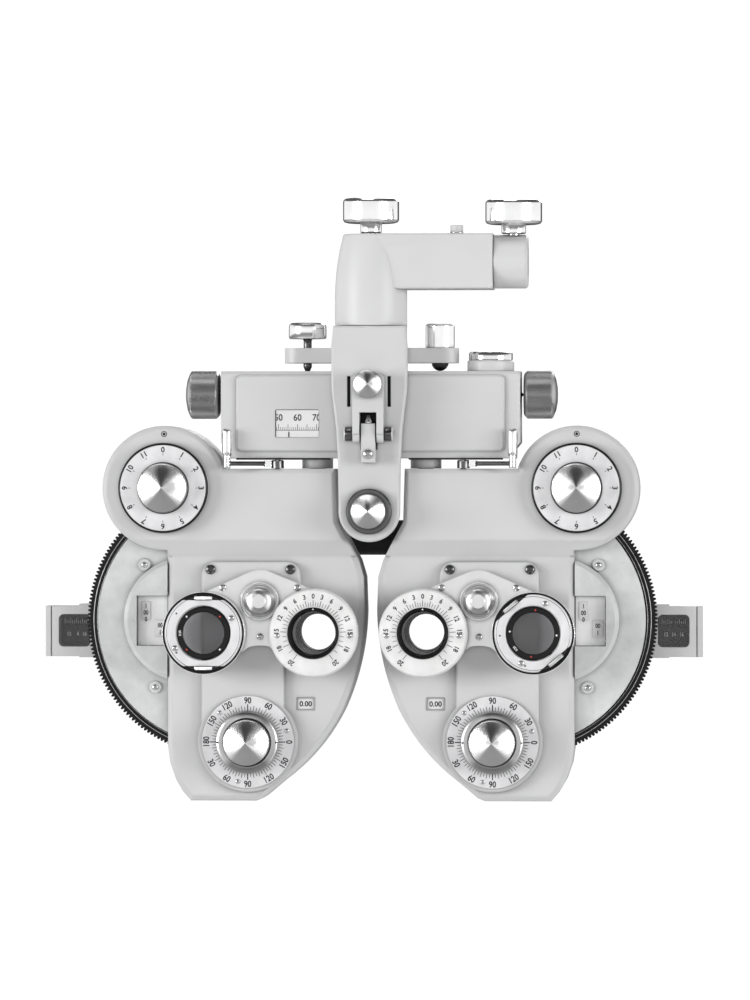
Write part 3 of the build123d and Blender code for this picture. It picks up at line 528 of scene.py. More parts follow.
def screw_mesh():
    """Pan-head screw with a real cross recess, 1 m radius to be scaled, looking along -Y."""
    unit = 1 / MM
    dome = ((0, -0.62), (0.55, -0.58), (0.85, -0.42), (1.0, -0.12), (1.0, 0.0), (0, 0.0))
    head = Shape().lathe([(r * unit, y * unit) for r, y in dome], 0, 40)
    base = head.make("screw_master", ["steel"], None)
    arm, half, floor = 0.62 * unit, 0.11 * unit, -0.30 * unit
    cut = Shape().box(-arm, arm, -unit, floor, -half, half).box(-half, half, -unit, floor, -arm, arm)
    tool = cut.make("screw_cut", ["steel"], None)
    mod = base.modifiers.new("cut", "BOOLEAN")
    mod.object = tool
    mod.operation = "DIFFERENCE"
    mod.solver = "EXACT"
    mod.use_self = True
    bpy.context.view_layer.update()
    mesh = final_mesh(base)
    for obj in (base, tool):
        bpy.data.objects.remove(obj)
    smooth(mesh, SCREW_SHARP)
    return mesh


SCREW_SHARP = 35
SCREW = screw_mesh()


def screws(name, body, spots, r, facing=-1.0, dark=False, turn=0.6):
    """Several screws of one size as one piece; spots are (x, y, z) in mm about the frame's zero."""
    mesh = bpy.data.meshes.new(name)
    bm = bmesh.new()
    for index, spot in enumerate(spots):
        start = len(bm.verts)
        bm.from_mesh(SCREW)
        bm.verts.ensure_lookup_table()
        spin = Matrix.Rotation(turn * (index + 1), 4, "Y") @ Matrix.Scale(r * MM, 4)
        if facing > 0:
            spin = Matrix.Rotation(math.pi, 4, "Z") @ spin
        move = Matrix.Translation(place(*spot)) @ spin
        bmesh.ops.transform(bm, matrix=move, verts=bm.verts[start:])
    bm.to_mesh(mesh)
    bm.free()
    mesh.materials.append(MAT["dark_steel" if dark else "steel"])
    smooth(mesh, SCREW_SHARP)
    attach(link(name, mesh), body)


def dress(node, mat):
    """Gives a CAD node its material and smooth shading."""
    obj = nodes[node]
    obj.data.materials.clear()
    obj.data.materials.append(MAT[mat])
    weld = obj.modifiers.new("weld", "WELD")
    weld.merge_threshold = 2e-6
    obj.data.polygons.foreach_set("use_smooth", [True] * len(obj.data.polygons))
    mod = obj.modifiers.new("smooth", "EDGE_SPLIT")
    mod.split_angle = math.radians(30)


def stand_in(shape, node, mats, body, at):
    """Makes the visible piece that stands for a whole CAD node."""
    return shape.make(node + "_look", mats, body, node, at=at, replaces=(node,))


def turned(node, body, profile, mats, teeth=None, segs=144, rings=()):
    """Lathe piece for a turned CAD node; its profile starts at the node's front face.
    Rings are (profile, segments) in the second material."""
    shape = Shape().lathe(profile, 0, segs, "Y", teeth=teeth)
    for ring, ring_segs in rings:
        shape.lathe(ring, 1, ring_segs)
    c = mid(node)
    stand_in(shape, node, mats, body, Vector((c.x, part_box(node)[0].y, c.z)))


def spun_head(r, depth, shaft_r, total):
    """Profile of a knob with a shallow spun cone, a straight knurled rim and a shaft behind it."""
    rim = depth * 0.46
    return [(0, 0), (0.35, 0.05), (r - 0.75, rim - 0.5), (r - 0.3, rim - 0.2), (r, rim + 0.4),
            (r, depth - 0.6), (r - 0.5, depth), (shaft_r, depth), (shaft_r, total), (0, total)]


def spun_knob(node, body, r, depth, shaft_r, knurls, segs, mats=("spun",), rings=()):
    """Knob with a spun head, as long as its CAD node."""
    k = span(node)
    profile = spun_head(r or (k[1] - k[0]) / 2, depth, shaft_r, k[3] - k[2])
    turned(node, body, profile, mats, (4, 5, 0.25, knurls), segs, rings)


# ------------------------------------------------------------------ batteries
def cylinder_scale(side, body):
    """Axis scale from 0 to 180 twice round the plate, with its three screws."""
    node = "axis_scale_plate_" + side
    x0, x1, y0, _, z0, z1 = span(node)
    r = (x1 - x0) / 2
    ink = Ink()
    for degree in range(0, 360, 5):
        outer = r - (4.3 if degree % 30 == 0 else 4.9 if degree % 10 == 0 else 5.5)
        ink.tick(r - 8.4, outer, math.radians(degree), 0.5 if degree % 90 == 0 else 0.24)
    for degree in range(0, 360, 30):
        number = "180" if degree == 180 else str(degree % 180)
        angle = math.radians(degree)
        flip = math.pi if 180 < degree < 360 else 0.0
        ink.text(number, *polar(r - 2.2, angle), 3.1, angle - math.pi / 2 + flip, wide=0.84)
    ink.make("axis_scale_marks_" + side, ["ink"], body, at=face_of(node))
    centre = ((x0 + x1) / 2, (z0 + z1) / 2)
    places = [polar(r - 2.7, math.radians(degree), centre) for degree in (134, 16, 256)]
    screws("axis_scale_screws_" + side, body, [(x, y0, z) for x, z in places], 1.15)


def cylinder_unit(side, body):
    """Knurled axis ring on the scale plate, and the spun cylinder knob in its middle."""
    cylinder_scale(side, body)
    node = "axis_ring_" + side
    knob = "cylinder_knob_" + side
    x0, x1, y0, y1, _, _ = span(node)
    r = (x1 - x0) / 2
    k = span(knob)
    inner = (k[1] - k[0]) / 2 + 0.3
    depth = span("axis_scale_plate_" + side)[2] - y0 - 0.2
    profile = [(3.05, 3.4), (inner, 3.4), (inner, 0.5), (inner + 0.4, 0), (r - 1.5, 0), (r - 0.5, 0.6),
               (r - 0.3, 1.6), (r, 2.2), (r, depth - 0.9), (r - 0.5, depth), (6.0, depth), (6.0, y1 - y0),
               (3.05, y1 - y0), (3.05, 3.4)]
    # painted shade: black band in the gap between the ring and the knob
    gap_shade = band(inner - 0.34, inner + 0.05, 1.0, 1.5)
    turned(node, node, profile, ["spun_ring", "tube"], (7, 8, 0.28, 72), 288, [(gap_shade, 128)])
    marks = Ink()
    for angle in (0, math.pi):
        marks.tri(*polar(r - 0.9, angle), 0.9, angle)
    marks.make("axis_ring_marks_" + side, ["ink"], node, at=face_of(node, 0.1))
    spun_knob(knob, knob, None, 11.8, 2.95, 60, 240)


def upper_face(side):
    """Front plane of the thick upper part of the housing, 1 mm before the raised panel's."""
    return span("axis_scale_plate_" + side)[3] - 1.0


def upper_dial(side):
    """Auxiliary lens dial with its twelve numbers, and the strong sphere knob in its middle."""
    node = "aux_dial_" + side
    x0, x1, y0, y1, z0, z1 = span(node)
    r = 23.0
    depth = upper_face(side) - y0 - 0.3
    profile = [(1.8, 0.6), (12.9, 0.6), (13.3, 0), (r - 1.3, 0), (r - 0.9, 0.25), (r, 1.1), (r, depth),
               (2.85, depth), (2.85, y1 - y0), (1.8, y1 - y0), (1.8, 0.6)]
    rim = [(r - 1.05, -0.04), (r - 0.25, 0.3), (r + 0.05, 1.2), (r + 0.05, 2.4), (r - 1.3, 2.4),
           (r - 1.05, -0.04)]
    # the thin black band between the knob and the dial is painted shade in their gap
    rings = [(rim, 144), (band(12.66, 13.05, 0.35, 0.75), 128)]
    turned(node, node, profile, ["satin_dial", "black"], rings=rings)
    ink = Ink()
    for k in range(12):
        angle = math.pi / 2 - k * math.pi / 6
        ink.text(str(k), *polar(r - 3.4, angle), 2.7, angle - math.pi / 2)
        ink.tick(r - 6.3, r - 5.4, angle, 0.28)
    ink.make("aux_dial_marks_" + side, ["ink"], node, at=face_of(node))
    spun_knob("strong_sphere_knob_" + side, "strong_knob_" + side, 12.6, 11.8, 1.65, 60, 240)
    index = Ink()
    index.dot(0, 27.6, 0.75).ring(1.15, 1.5, (0, 27.6))
    index.make("dial_index_" + side, ["ink"], "battery_" + side,
               at=place((x0 + x1) / 2, upper_face(side), (z0 + z1) / 2))


PRISM_SCALE = ((0, 0), (3, 14), (6, 30), (9, 48), (12, 66), (15, 87.5), (18, 115), (20, 143))


def prism_marks():
    """Graduations of the rotary prism, up to 20 both ways from the top."""
    ink = Ink()
    for value, degree in PRISM_SCALE:
        for way in ((1, -1) if degree else (1,)):
            angle = math.pi / 2 - way * math.radians(degree)
            ink.text(str(value), *polar(18.8, angle), 2.4, angle - math.pi / 2, wide=0.9)
    for (v0, a0), (v1, a1) in zip(PRISM_SCALE, PRISM_SCALE[1:]):
        for k in range(v0, v1 + 1):
            degree = a0 + (a1 - a0) * (k - v0) / (v1 - v0)
            for way in (1, -1):
                angle = math.pi / 2 - way * math.radians(degree)
                ink.tick(13.7, 16.7 if k in (v0, v1) else 15.8, angle, 0.26 if k in (v0, v1) else 0.2)
    return ink


def prism_unit(side):
    """Rotary prism: white graduated bezel, black barrel with its pointer."""
    node = "prism_dial_" + side
    x0, x1, y0, y1, z0, z1 = span(node)
    r = (x1 - x0) / 2
    body = "prism_" + side
    slope = 0.16
    face_in, face_out = 13.4, r - 1.0
    lens = span("prism_lens_" + side)
    bore = (lens[1] - lens[0]) / 2
    cone = slope * (face_out - face_in)
    spigot = bore + 0.9
    profile = [(face_in - 0.3, 0.8), (face_in, 0.8), (face_out, 0.8 + cone), (r - 0.5, 1.6 + cone),
               (r, 2.6 + cone), (r, 14.2), (r - 0.6, 14.8), (spigot, 14.8), (spigot, y1 - y0),
               (bore, y1 - y0), (bore, 9.2), (face_in - 0.3, 9.2), (face_in - 0.3, 0.8)]
    barrel = [(bore, 1.2), (bore + 0.4, 0.3), (12.9, 0.0), (13.1, 0.3), (13.1, 9.2), (bore, 9.2), (bore, 1.2)]
    rings = [(barrel, 96), (band(bore - 0.45, bore, 7.2, 8.6), 96)]
    turned(node, body, profile, ["white", "tube"], (4, 5, 0.3, 120), 360, rings)
    ink = prism_marks()
    ink.v = [(x, y + slope * max(0.0, math.hypot(x, z) - face_in), z) for x, y, z in ink.v]
    ink.make("prism_marks_" + side, ["ink"], body, at=face_of(node, 0.8))
    pointer = Ink()
    pointer.tri(0, 12.2, 0.62, math.pi / 2)
    pointer.make("prism_pointer_" + side, ["ink_white"], body, at=face_of(node, 0.12))
    screw_r = 18.4
    y = y0 + slope * (screw_r - face_in) + 0.8
    spots = [((x0 + x1) / 2 + way * screw_r, y, (z0 + z1) / 2 - 1.2) for way in (1, -1)]
    screws("prism_screws_" + side, body, spots, 1.35)


FACE_CUT = 16.8      # how far out the cross cylinder's face plate is cut before each flip wheel
FACE_STEPS = 288
POCKET_R = 19.8


def jcc_plate(along):
    """Face plate of the cross cylinder: round, and cut straight before each flip wheel."""
    inner, outer = 14.0, 19.5

    def edge(angle):
        away = abs(math.cos(angle - along))
        return min(outer, FACE_CUT / away) if away > 1e-6 else outer

    rows = ((lambda a: inner, 0.3), (lambda a: inner + 0.3, 0.0), (lambda a: edge(a) - 0.2, 0.0),
            (edge, 0.25), (edge, 0.6), (lambda a: inner, 0.6))
    ring = [2 * math.pi * k / FACE_STEPS for k in range(FACE_STEPS)]
    verts = [(r_of(a) * math.cos(a), y - 0.55, r_of(a) * math.sin(a)) for r_of, y in rows for a in ring]
    n = FACE_STEPS
    faces = []
    for i in range(len(rows)):
        for k in range(n):
            j, m = (i + 1) % len(rows), (k + 1) % n
            faces.append((i * n + k, i * n + m, j * n + m, j * n + k))
    return Shape().add(verts, faces)


def jcc_face(side, along, at):
    """Face plate with its dark groove, and black fills painted as the shade in the gap round its edge and in
    the wheel pockets.
    """
    plate = jcc_plate(along)
    # painted shade: black ring in the gap round the plate's edge
    plate.lathe(band(19.75, 20.75, -0.02, 0.1), 1, 180)
    plate.lathe(band(18.55, 18.8, -0.57, -0.5), 2, 180)
    half = math.sqrt(POCKET_R ** 2 - FACE_CUT ** 2) * 0.98
    # painted shadow: black fills in the wheel pockets
    for turn in (along, along + math.pi):
        c, s = math.cos(turn), math.sin(turn)
        pocket = [(FACE_CUT * c + half * s, FACE_CUT * s - half * c)]
        pocket += [polar(POCKET_R, turn + k * 0.066) for k in range(-8, 9)]
        pocket += [(FACE_CUT * c - half * s, FACE_CUT * s + half * c)]
        plate.slab(pocket, -0.12, 0.1, 1)
    ring = "jcc_ring_" + side
    plate.make("jcc_face_" + side, ["satin_dial", "tube", "dark_steel"], ring, ring, at=at)


def cross_cylinder(side):
    """Face plate, chrome edge, dots and flip wheels of the cross cylinder."""
    ring = "jcc_ring_" + side
    x0, x1, y0, _, z0, z1 = span(ring)
    cx, cz = (x0 + x1) / 2, (z0 + z1) / 2
    flip = JOINTS["jcc_flip_" + side]["axis"]
    along = math.atan2(flip[2], flip[0])
    across = along + math.pi / 2
    at = place(cx, y0, cz)
    jcc_face(side, along, at)
    ink = Ink()
    for spot in (0.9, -0.9):
        ink.dot(*polar(16.9, across + spot * 0.7), 0.45)
    ink.make("jcc_marks_" + side, ["ink"], ring, at=at + Vector((0, -0.55 * MM, 0)))
    places = [polar(16.3, a, (cx, cz)) for a in (along - 1.08, along - 1.08 + math.pi)]
    screws("jcc_screws_" + side, ring, [(x, y0 - 0.5, z) for x, z in places], 1.5)
    cell = "jcc_cell_" + side
    c = span("jcc_lens_" + side)
    lens_r = (c[1] - c[0]) / 2
    mid_y = (c[2] + c[3]) / 2
    shape = Shape().lathe([(lens_r, -2.0), (lens_r + 0.3, -2.3), (13.0, -2.4), (13.5, -1.9), (13.5, 1.9),
                           (13.0, 2.4), (lens_r + 0.3, 2.3), (lens_r, 2.0), (lens_r, -2.0)], 0, 96)
    wheel = [(0, 12.9), (0.95, 12.9), (0.95, 16.95), (4.8, 16.95), (5.15, 17.2), (5.15, 18.45), (4.8, 18.75),
             (0, 18.75)]
    for turn in (along, along + math.pi):
        shape.add_turned(Shape().lathe(wheel, 1, 80, "X", teeth=(4, 5, 0.28, 40)), turn, 1)
    stand_in(shape, cell, ["black", "satin"], cell, place(cx, mid_y, cz))
    dots = Ink()
    for offset, mat in ((-0.78, 0), (math.pi - 0.78, 0), (0.78, 1), (math.pi + 0.78, 1)):
        dots.dot(*polar(11.9, across + offset), 0.5, mat)
    dots.text("0.25", *polar(11.9, across), 1.15, across - math.pi / 2)
    dots.make("jcc_dots_" + side, ["ink_white", "ink_red"], cell, at=place(cx, mid_y - 2.4, cz))


def turret_details(side):
    """Dished washer, bright hub cap and slotted screws of the turret plate."""
    body = "turret_" + side
    node = "turret_plate_" + side
    hub = pivot("turret_turn_" + side)
    plate = span(node)
    face = plate[3] - 3.5
    tip = plate[2] - face
    shape = Shape()
    shape.lathe([(8.7, -2.6), (9.0, -2.9), (9.6, -2.9), (9.9, -2.6), (9.9, 0.0), (8.7, 0.0), (8.7, -2.6)])
    steps = [k * math.pi / 16 for k in range(1, 9)]
    dome = [(0, tip)] + [(6.6 * math.sin(a), tip + 2.2 * (1 - math.cos(a))) for a in steps]
    dome += [(6.9, tip + 3.2), (6.4, tip + 4.6), (7.8, -2.6), (8.7, -2.2), (8.7, -0.2), (0, -0.2)]
    shape.lathe(dome, 1)
    shape.make("turret_hub_" + side, ["satin", "spun_soft"], body, node, at=place(hub.x, face, hub.z))
    spots = [(hub.x + dx, face, hub.z + dz) for dx, dz in ((19.0, 6.8), (-19.0, 6.8), (0.0, -18.2))]
    screws("turret_screws_" + side, body, spots, 1.75, turn=0.9)


def cylinder_window(side, body, mesa):
    """Small framed window with the cylinder power, low on the raised panel."""
    sight = mid("prism_dial_" + side)
    at = place((sight.x - ZERO.x) / MM + sign(side) * 5.4, mesa + 4.0, -36.5)
    loops = [[(-x, -z), (x, -z), (x, z), (-x, z)] for x, z in ((4.7, 3.3), (4.2, 2.8))]
    verts = [(a, y, b) for y in (-0.25, 0.6) for loop in loops for a, b in loop]
    faces = []
    for k in range(4):
        n = (k + 1) % 4
        faces += [(k, n, 4 + n, 4 + k), (8 + k, 12 + k, 12 + n, 8 + n), (k, 8 + k, 8 + n, n),
                  (4 + k, 4 + n, 12 + n, 12 + k)]
    window = Shape().add(verts, faces).box(-4.2, 4.2, 0.5, 0.9, -2.8, 2.8, 1)
    window.make("cylinder_window_" + side, ["paint_dark", "white"], body, at=at, bevel=0.12)
    text = Ink()
    text.text("0.00", 0, 0, 2.6)
    text.make("cylinder_reading_" + side, ["ink"], body, at=at + Vector((0, 0.48 * MM, 0)))


def case_details(side):
    """Screws, window, black sight bores and rear cap of the two housings."""
    s = sign(side)
    body = "battery_" + side
    hub = pivot("turret_turn_" + side)
    mesa = span("axis_scale_plate_" + side)[3]
    spots = [(hub.x + s * dx, mesa, hub.z + 16.0) for dx in (-15.1, 25.8)]
    screws("case_screws_" + side, body, spots, 2.55, dark=True)
    cylinder_window(side, body, mesa)
    back = span("rear_case_" + side)[3]
    liner = Shape()
    for r, y0, y1 in ((10.36, mesa + 0.05, mesa + 6.4), (11.86, back - 2.45, back - 0.05)):
        liner.lathe(band(r - 0.25, r, y0, y1), 0, 96)
    liner.make("sight_liner_" + side, ["tube"], body, "front_case_" + side, at=place(s * SIGHT_X, 0, 0))
    disc = pivot("weak_sphere_turn_" + side)
    cap = Shape()
    cap.lathe([(0, 1.6), (3.4, 1.6), (4.2, 1.2), (4.6, 0.3), (7.2, 0.3), (7.6, 0.0), (0, 0.0)], 0, 64)
    cap.make("rear_spindle_cap_" + side, ["satin"], body, at=place(disc.x, back, disc.z))
    places = [polar(52, a, (disc.x, disc.z)) for a in (0.75, -0.75, 2.2, -1.9)]
    screws("rear_screws_" + side, body, [(x, back, z) for x, z in places], 2.4, facing=1.0)


def number_window(side):
    """Numbers of the sphere power behind the cover's window, and the cover's screws."""
    s = sign(side)
    body = "battery_" + side
    cover = span("disc_cover_" + side)
    front = cover[2]
    edge = cover[0] if s > 0 else cover[1]
    x = edge + s * 12.6
    back = Shape().box(-7.6, 7.6, 0, 0.7, -12.6, 12.6, 0)
    back.box(-5.8, -1.2, -0.5, 0.1, 0.6, 9.8, 1).box(1.0, 6.6, -0.5, 0.1, -8.2, 0.4, 1)
    at = place(x, front + 4.6, 5.8)
    back.make("power_window_" + side, ["window_grey", "white"], body, at=at, bevel=0.1)
    text = Ink()
    for k, word in enumerate(("1", "00", "0")):
        text.text(word, -3.5, 7.6 - 3.4 * k, 2.2, wide=0.8)
    for k, word in enumerate(("00", "1")):
        text.text(word, 3.8, -2.4 - 3.6 * k, 2.2, wide=0.8)
    text.make("power_numbers_" + side, ["ink"], body, at=place(x, front + 4.1, 5.8))
    spots = [(s * dx, z) for dx, z in ((16.8, 28.3), (11.2, -34.4))]
    bosses = Shape()
    for dx, z in spots:
        bosses.lathe([(0, -1.6), (2.6, -1.6), (3.1, -1.2), (3.3, 0.0), (0, 0.0)], 0, 48, at=(dx, 0, z))
    bosses.make("cover_bosses_" + side, ["cover"], body, at=place(edge, front + 4.5, 6.1))
    screws("cover_screws_" + side, body, [(edge + dx, front + 2.9, z + 6.1) for dx, z in spots], 1.5)


def disc_rings(side):
    """Shallow grooves on the front of the serrated disc, in bright metal as painted highlight of the glossy
    black ring.
    """
    disc = span("weak_sphere_disc_" + side)
    c = pivot("weak_sphere_turn_" + side)
    r = (disc[1] - disc[0]) / 2
    shape = Shape()
    for inner, outer in ((r - 3.4, r - 3.4 + 0.35), (r - 5.2, r - 5.2 + 0.3)):
        shape.lathe([(inner, 0.02), (inner + 0.08, -0.16), (outer - 0.08, -0.16), (outer, 0.02),
                     (inner, 0.02)], 0, 240)
    shape.make("disc_highlight_lines_" + side, ["alu"], "weak_disc_" + side, at=place(c.x, disc[2], c.z))


def lens_cells(side):
    """Glass in its cells round the weak sphere disc; one aperture stays open."""
    c = pivot("weak_sphere_turn_" + side)
    sight = (mid("prism_dial_" + side) - ZERO) / MM
    dx, dz = sight.x - c.x, sight.z - c.z
    r, first = math.hypot(dx, dz), math.atan2(dz, dx)
    cells, glasses = Shape(), Shape()
    for k in range(1, 12):
        x, z = polar(r, first + k * math.pi / 6)
        cells.lathe(band(8.1, 9.15, -2.4, 2.4), 0, 48, at=(x, 0, z))
        glasses.lathe([(0, -1.1), (4.5, -0.95), (8.0, -0.6), (8.0, 0.6), (4.5, 0.8), (0, 0.9)], 0, 48,
                      at=(x, 0, z))
    centre = place(c.x, 0, c.z)
    cells.make("weak_lens_cells_" + side, ["alu"], "weak_disc_" + side, at=centre)
    glasses.make("weak_lenses_" + side, ["lens"], "weak_disc_" + side, at=centre)


def vertex_details(side):
    """Mirror, scale and dark well of the cornea sighting window."""
    s = sign(side)
    body = "battery_" + side
    x0, x1, y0, _, _, _ = span("vertex_window_" + side)
    at = place((x1 if s > 0 else x0) - s * 15.0, y0 + 12.6, 0.4)
    well = Shape().box(-8.0, 8.0, 0, 0.35, -8.2, 8.2, 0)
    well.make("vertex_well_" + side, ["black"], body, at=at, bevel=0.1)
    mirror = Shape().box(-6.6, 6.6, -2.4, -1.8, -6.6, 2.2, 0).box(-6.6, 6.6, -3.4, -2.4, 3.2, 7.0, 1)
    mirror.box(-0.25, 0.25, -8.5, -8.1, -8.0, 8.0, 1)
    mirror.make("vertex_mirror_" + side, ["black", "tube"], body, at=at, bevel=0.1)
    ink = Ink()
    for k in range(-6, 7):
        ink.tick(0, 2.6 if k % 3 == 0 else 1.6, math.pi / 2, 0.22, (k, 3.4))
    for k, word in ((-4, "12"), (0, "14"), (4, "16")):
        ink.text(word, k, -2.0, 2.0, wide=0.8)
    ink.v = [(u, v - (3.4 if w > 3.0 else 2.4), w) for u, v, w in ink.v]
    ink.make("vertex_scale_" + side, ["ink_white"], body, at=at)
    pane = Shape().box(-8.1, 8.1, -12.2, -11.9, -8.3, 8.3)
    pane.make("vertex_glass_" + side, ["glass"], body, at=at)


def lever(side):
    """Chrome vergence handle on its dark link, with the pivot hub and a small stop block."""
    node = "vergence_lever_" + side
    x0, x1, y0, _, z0, z1 = span(node)
    hub = pivot("lever_" + side)
    hx, hy = (x1 - 2.5 if sign(side) > 0 else x0 + 2.5), y0 + 2.5
    handle = [(0, z0), (1.7, z0), (1.9, z0 + 0.4)]
    for k in range(3):
        base = z0 + 1.0 + 1.7 * k
        handle += [(1.9, base), (1.55, base + 0.15), (1.55, base + 0.75), (1.9, base + 0.9)]
    handle += [(1.9, z0 + 6.2), (2.4, z0 + 6.9), (2.5, z0 + 7.4), (2.5, z1 - 2.0), (2.2, z1 - 0.6),
               (1.6, z1 - 0.1), (0, z1)]
    shape = Shape().lathe(handle, 0, 48, "Z", (hx - hub.x, hy - hub.y, -hub.z))
    shape.lathe([(1.55, z0), (3.2, z0), (3.2, 87.4), (2.8, 88.0), (1.55, 88.0), (1.55, z0)], 1, 48, "Z",
                (0, 0, -hub.z))
    reach = math.hypot(hx - hub.x, hy - hub.y)
    way = math.atan2(hy - hub.y, hx - hub.x)
    rod = Shape().lathe([(0, 2.4), (1.15, 2.4), (1.15, reach), (0, reach)], 1, 24, "X")
    block = Shape().box(3.6, 6.8, -1.6, 1.6, -1.5, 1.5, 0)
    c, s = math.cos(way), math.sin(way)
    for part, mat in ((rod, 1), (block, 0)):
        shape.add([(x * c - y * s, x * s + y * c, z + 86.2 - hub.z) for x, y, z in part.v], part.f, mat)
    stand_in(shape, node, ["chrome", "dark_steel"], "lever_" + side, place(*hub))


# ------------------------------------------------------------------ centre
def clamp_knob(node, body, stem_r):
    """Turned clamp knob with rounded edges on a stem, standing on the arm."""
    x0, x1, y0, y1, z0, z1 = span(node)
    r = (x1 - x0) / 2
    low = z1 - 12.6
    head = [(0, z1 - 0.7), (r * 0.55, z1 - 0.7), (r * 0.62, z1 - 0.2), (r - 2.0, z1), (r - 0.9, z1 - 0.3),
            (r - 0.1, z1 - 1.3), (r, z1 - 2.0), (r, low + 1.6), (r - 0.8, low + 0.4), (r - 2.4, low),
            (stem_r + 0.3, low)]
    stem = [(stem_r, low - 0.5), (stem_r, z0 + 6.6), (stem_r - 0.4, z0 + 6.0), (3.0, z0 + 6.0), (3.0, z0),
            (0, z0)]
    stand_in(Shape().lathe(head + stem, 0, 128, "Z"), node, ["bright"], body,
             place((x0 + x1) / 2, (y0 + y1) / 2, 0))


def level_screw():
    """Levelling screw: bright cap head on a dark threaded shank."""
    node = "level_screw"
    x0, x1, y0, y1, z0, z1 = span(node)
    r = (x1 - x0) / 2
    head = [(0, z1 - 0.4), (r - 3.5, z1 - 0.4), (r - 3.0, z1), (r - 1.4, z1 - 0.1), (r - 0.3, z1 - 1.0),
            (r, z1 - 2.2), (r, z1 - 7.4), (r - 0.5, z1 - 8.2), (2.5, z1 - 8.4)]
    shank = [(2.1, z1 - 9.2), (2.1, z1 - 11.6), (2.1, z1 - 12.9), (2.1, z0 + 4.0), (2.2, z0 + 3.4),
             (2.2, z0 + 2.2), (1.3, z0), (0, z0)]
    shape = Shape().lathe(head + shank, 0, 96, "Z")
    shape.m = [1 if max(shape.v[i][2] for i in face) < z1 - 8.3 else 0 for face in shape.f]
    stand_in(shape, node, ["bright", "dark_steel"], node, place((x0 + x1) / 2, (y0 + y1) / 2, 0))


def level_plunger():
    """Sprung pin at the other end of the bar, and the bright barrel over it."""
    node = "level_plunger"
    x0, x1, y0, y1, z0, z1 = span(node)
    r = (x1 - x0) / 2
    at = place((x0 + x1) / 2, (y0 + y1) / 2, 0)
    pin = Shape().lathe([(0, z1), (r - 0.6, z1), (r, z1 - 0.6), (r, z0 + 4.4), (r - 0.3, z0 + 2.7),
                         (r - 1.3, z0 + 1.3), (r - 2.7, z0 + 0.35), (0, z0)], 0, 64, "Z")
    stand_in(pin, node, ["dark_steel"], node, at)
    top = span("level_bar")[5]
    low = top - 12.4
    cup = [(0, top + 0.06), (5.8, top + 0.06), (6.9, top - 0.5), (7.42, top - 1.2), (7.42, low + 0.5),
           (7.1, low + 0.05), (6.9, low + 0.05), (6.9, top - 1.4), (0, top - 1.4)]
    Shape().lathe(cup, 0, 128, "Z").make("plunger_barrel", ["bright"], "column", "level_bar", at=at)


def bubble():
    """Round bubble level: painted seat, chrome ring, glass with its bubble."""
    node = "bubble_level"
    x0, x1, y0, y1, z0, z1 = span(node)
    r = (x1 - x0) / 2
    at = place((x0 + x1) / 2, (y0 + y1) / 2, z0)
    tall = z1 - z0
    shape = Shape().lathe([(0, 0), (r, 0), (r, 4.9), (r - 0.6, 5.6), (9.0, 5.7), (0, 5.7)], 0, 96, "Z")
    shape.lathe([(9.2, 5.7), (11.1, 5.7), (11.2, 6.4), (11.2, tall - 1.0), (10.8, tall - 0.3), (10.2, tall),
                 (9.6, tall), (9.2, tall - 0.5), (9.2, 5.7)], 1, 96, "Z")
    shape.lathe([(0, 5.7), (9.2, 5.7), (9.2, tall - 1.6), (0, tall - 1.6)], 2, 64, "Z")
    stand_in(shape, node, ["paint", "chrome", "fluid"], "box", at)
    lens = [(0, tall - 0.5), (5.0, tall - 0.6), (9.2, tall - 0.9), (9.2, tall - 1.3), (0, tall - 1.1)]
    Shape().lathe(lens, 0, 64, "Z").make("bubble_glass", ["glass"], "box", node, at=at)
    ink = Shape().lathe(band(3.0, 3.3, tall - 1.5, tall - 1.35), 0, 48, "Z")
    ink.lathe([(0, tall - 1.3), (1.2, tall - 1.32), (2.0, tall - 1.5), (0, tall - 1.55)], 1, 40, "Z",
              (0.6, 0.4, 0))
    ink.make("bubble_marks", ["ink", "ink_white"], "box", node, at=at)


def pd_drive():
    """Leadscrew with its two ribbed knobs."""
    node = "pd_knob_shaft"
    _, end, y0, y1, z0, z1 = span(node)
    r = (z1 - z0) / 2
    base = end - 17.4
    at = place(0, (y0 + y1) / 2, (z0 + z1) / 2)
    head = [(0, end), (4.0, end - 0.15), (8.0, end - 0.9), (r - 1.6, end - 2.0), (r - 0.5, end - 2.6),
            (r, end - 3.3), (r, base + 1.9), (r - 0.5, base + 1.3), (r - 1.6, base + 0.3), (r - 2.4, base),
            (4.0, base), (0, base)]
    shape = Shape()
    for way in (1, -1):
        shape.lathe([(radius, way * x) for radius, x in head], 0, 480, "X", teeth=(5, 6, 0.3, 120))
    thread = [(0, -base)]
    turns = 76
    for k in range(turns):
        x = -base + 2 + (2 * base - 4) * k / turns
        thread += [(4.0, x), (3.5, x + (base - 2) / turns)]
    thread += [(0, base)]
    shape.lathe(thread, 1, 32, "X")
    shape.make("pd_knobs_look", ["ribbed", "steel"], "pd_screw", node, at=at, replaces=(node,))
    dots = Shape()
    for way in (1, -1):
        dots.lathe([(0, 0.12), (0.8, 0.08), (0.9, -0.3), (0, -0.3)], 0, 24, "Z",
                   (way * (base + 8.0), 0, r - 0.1))
    dots.make("pd_knob_dots", ["ink_white"], "pd_screw", node, at=at)


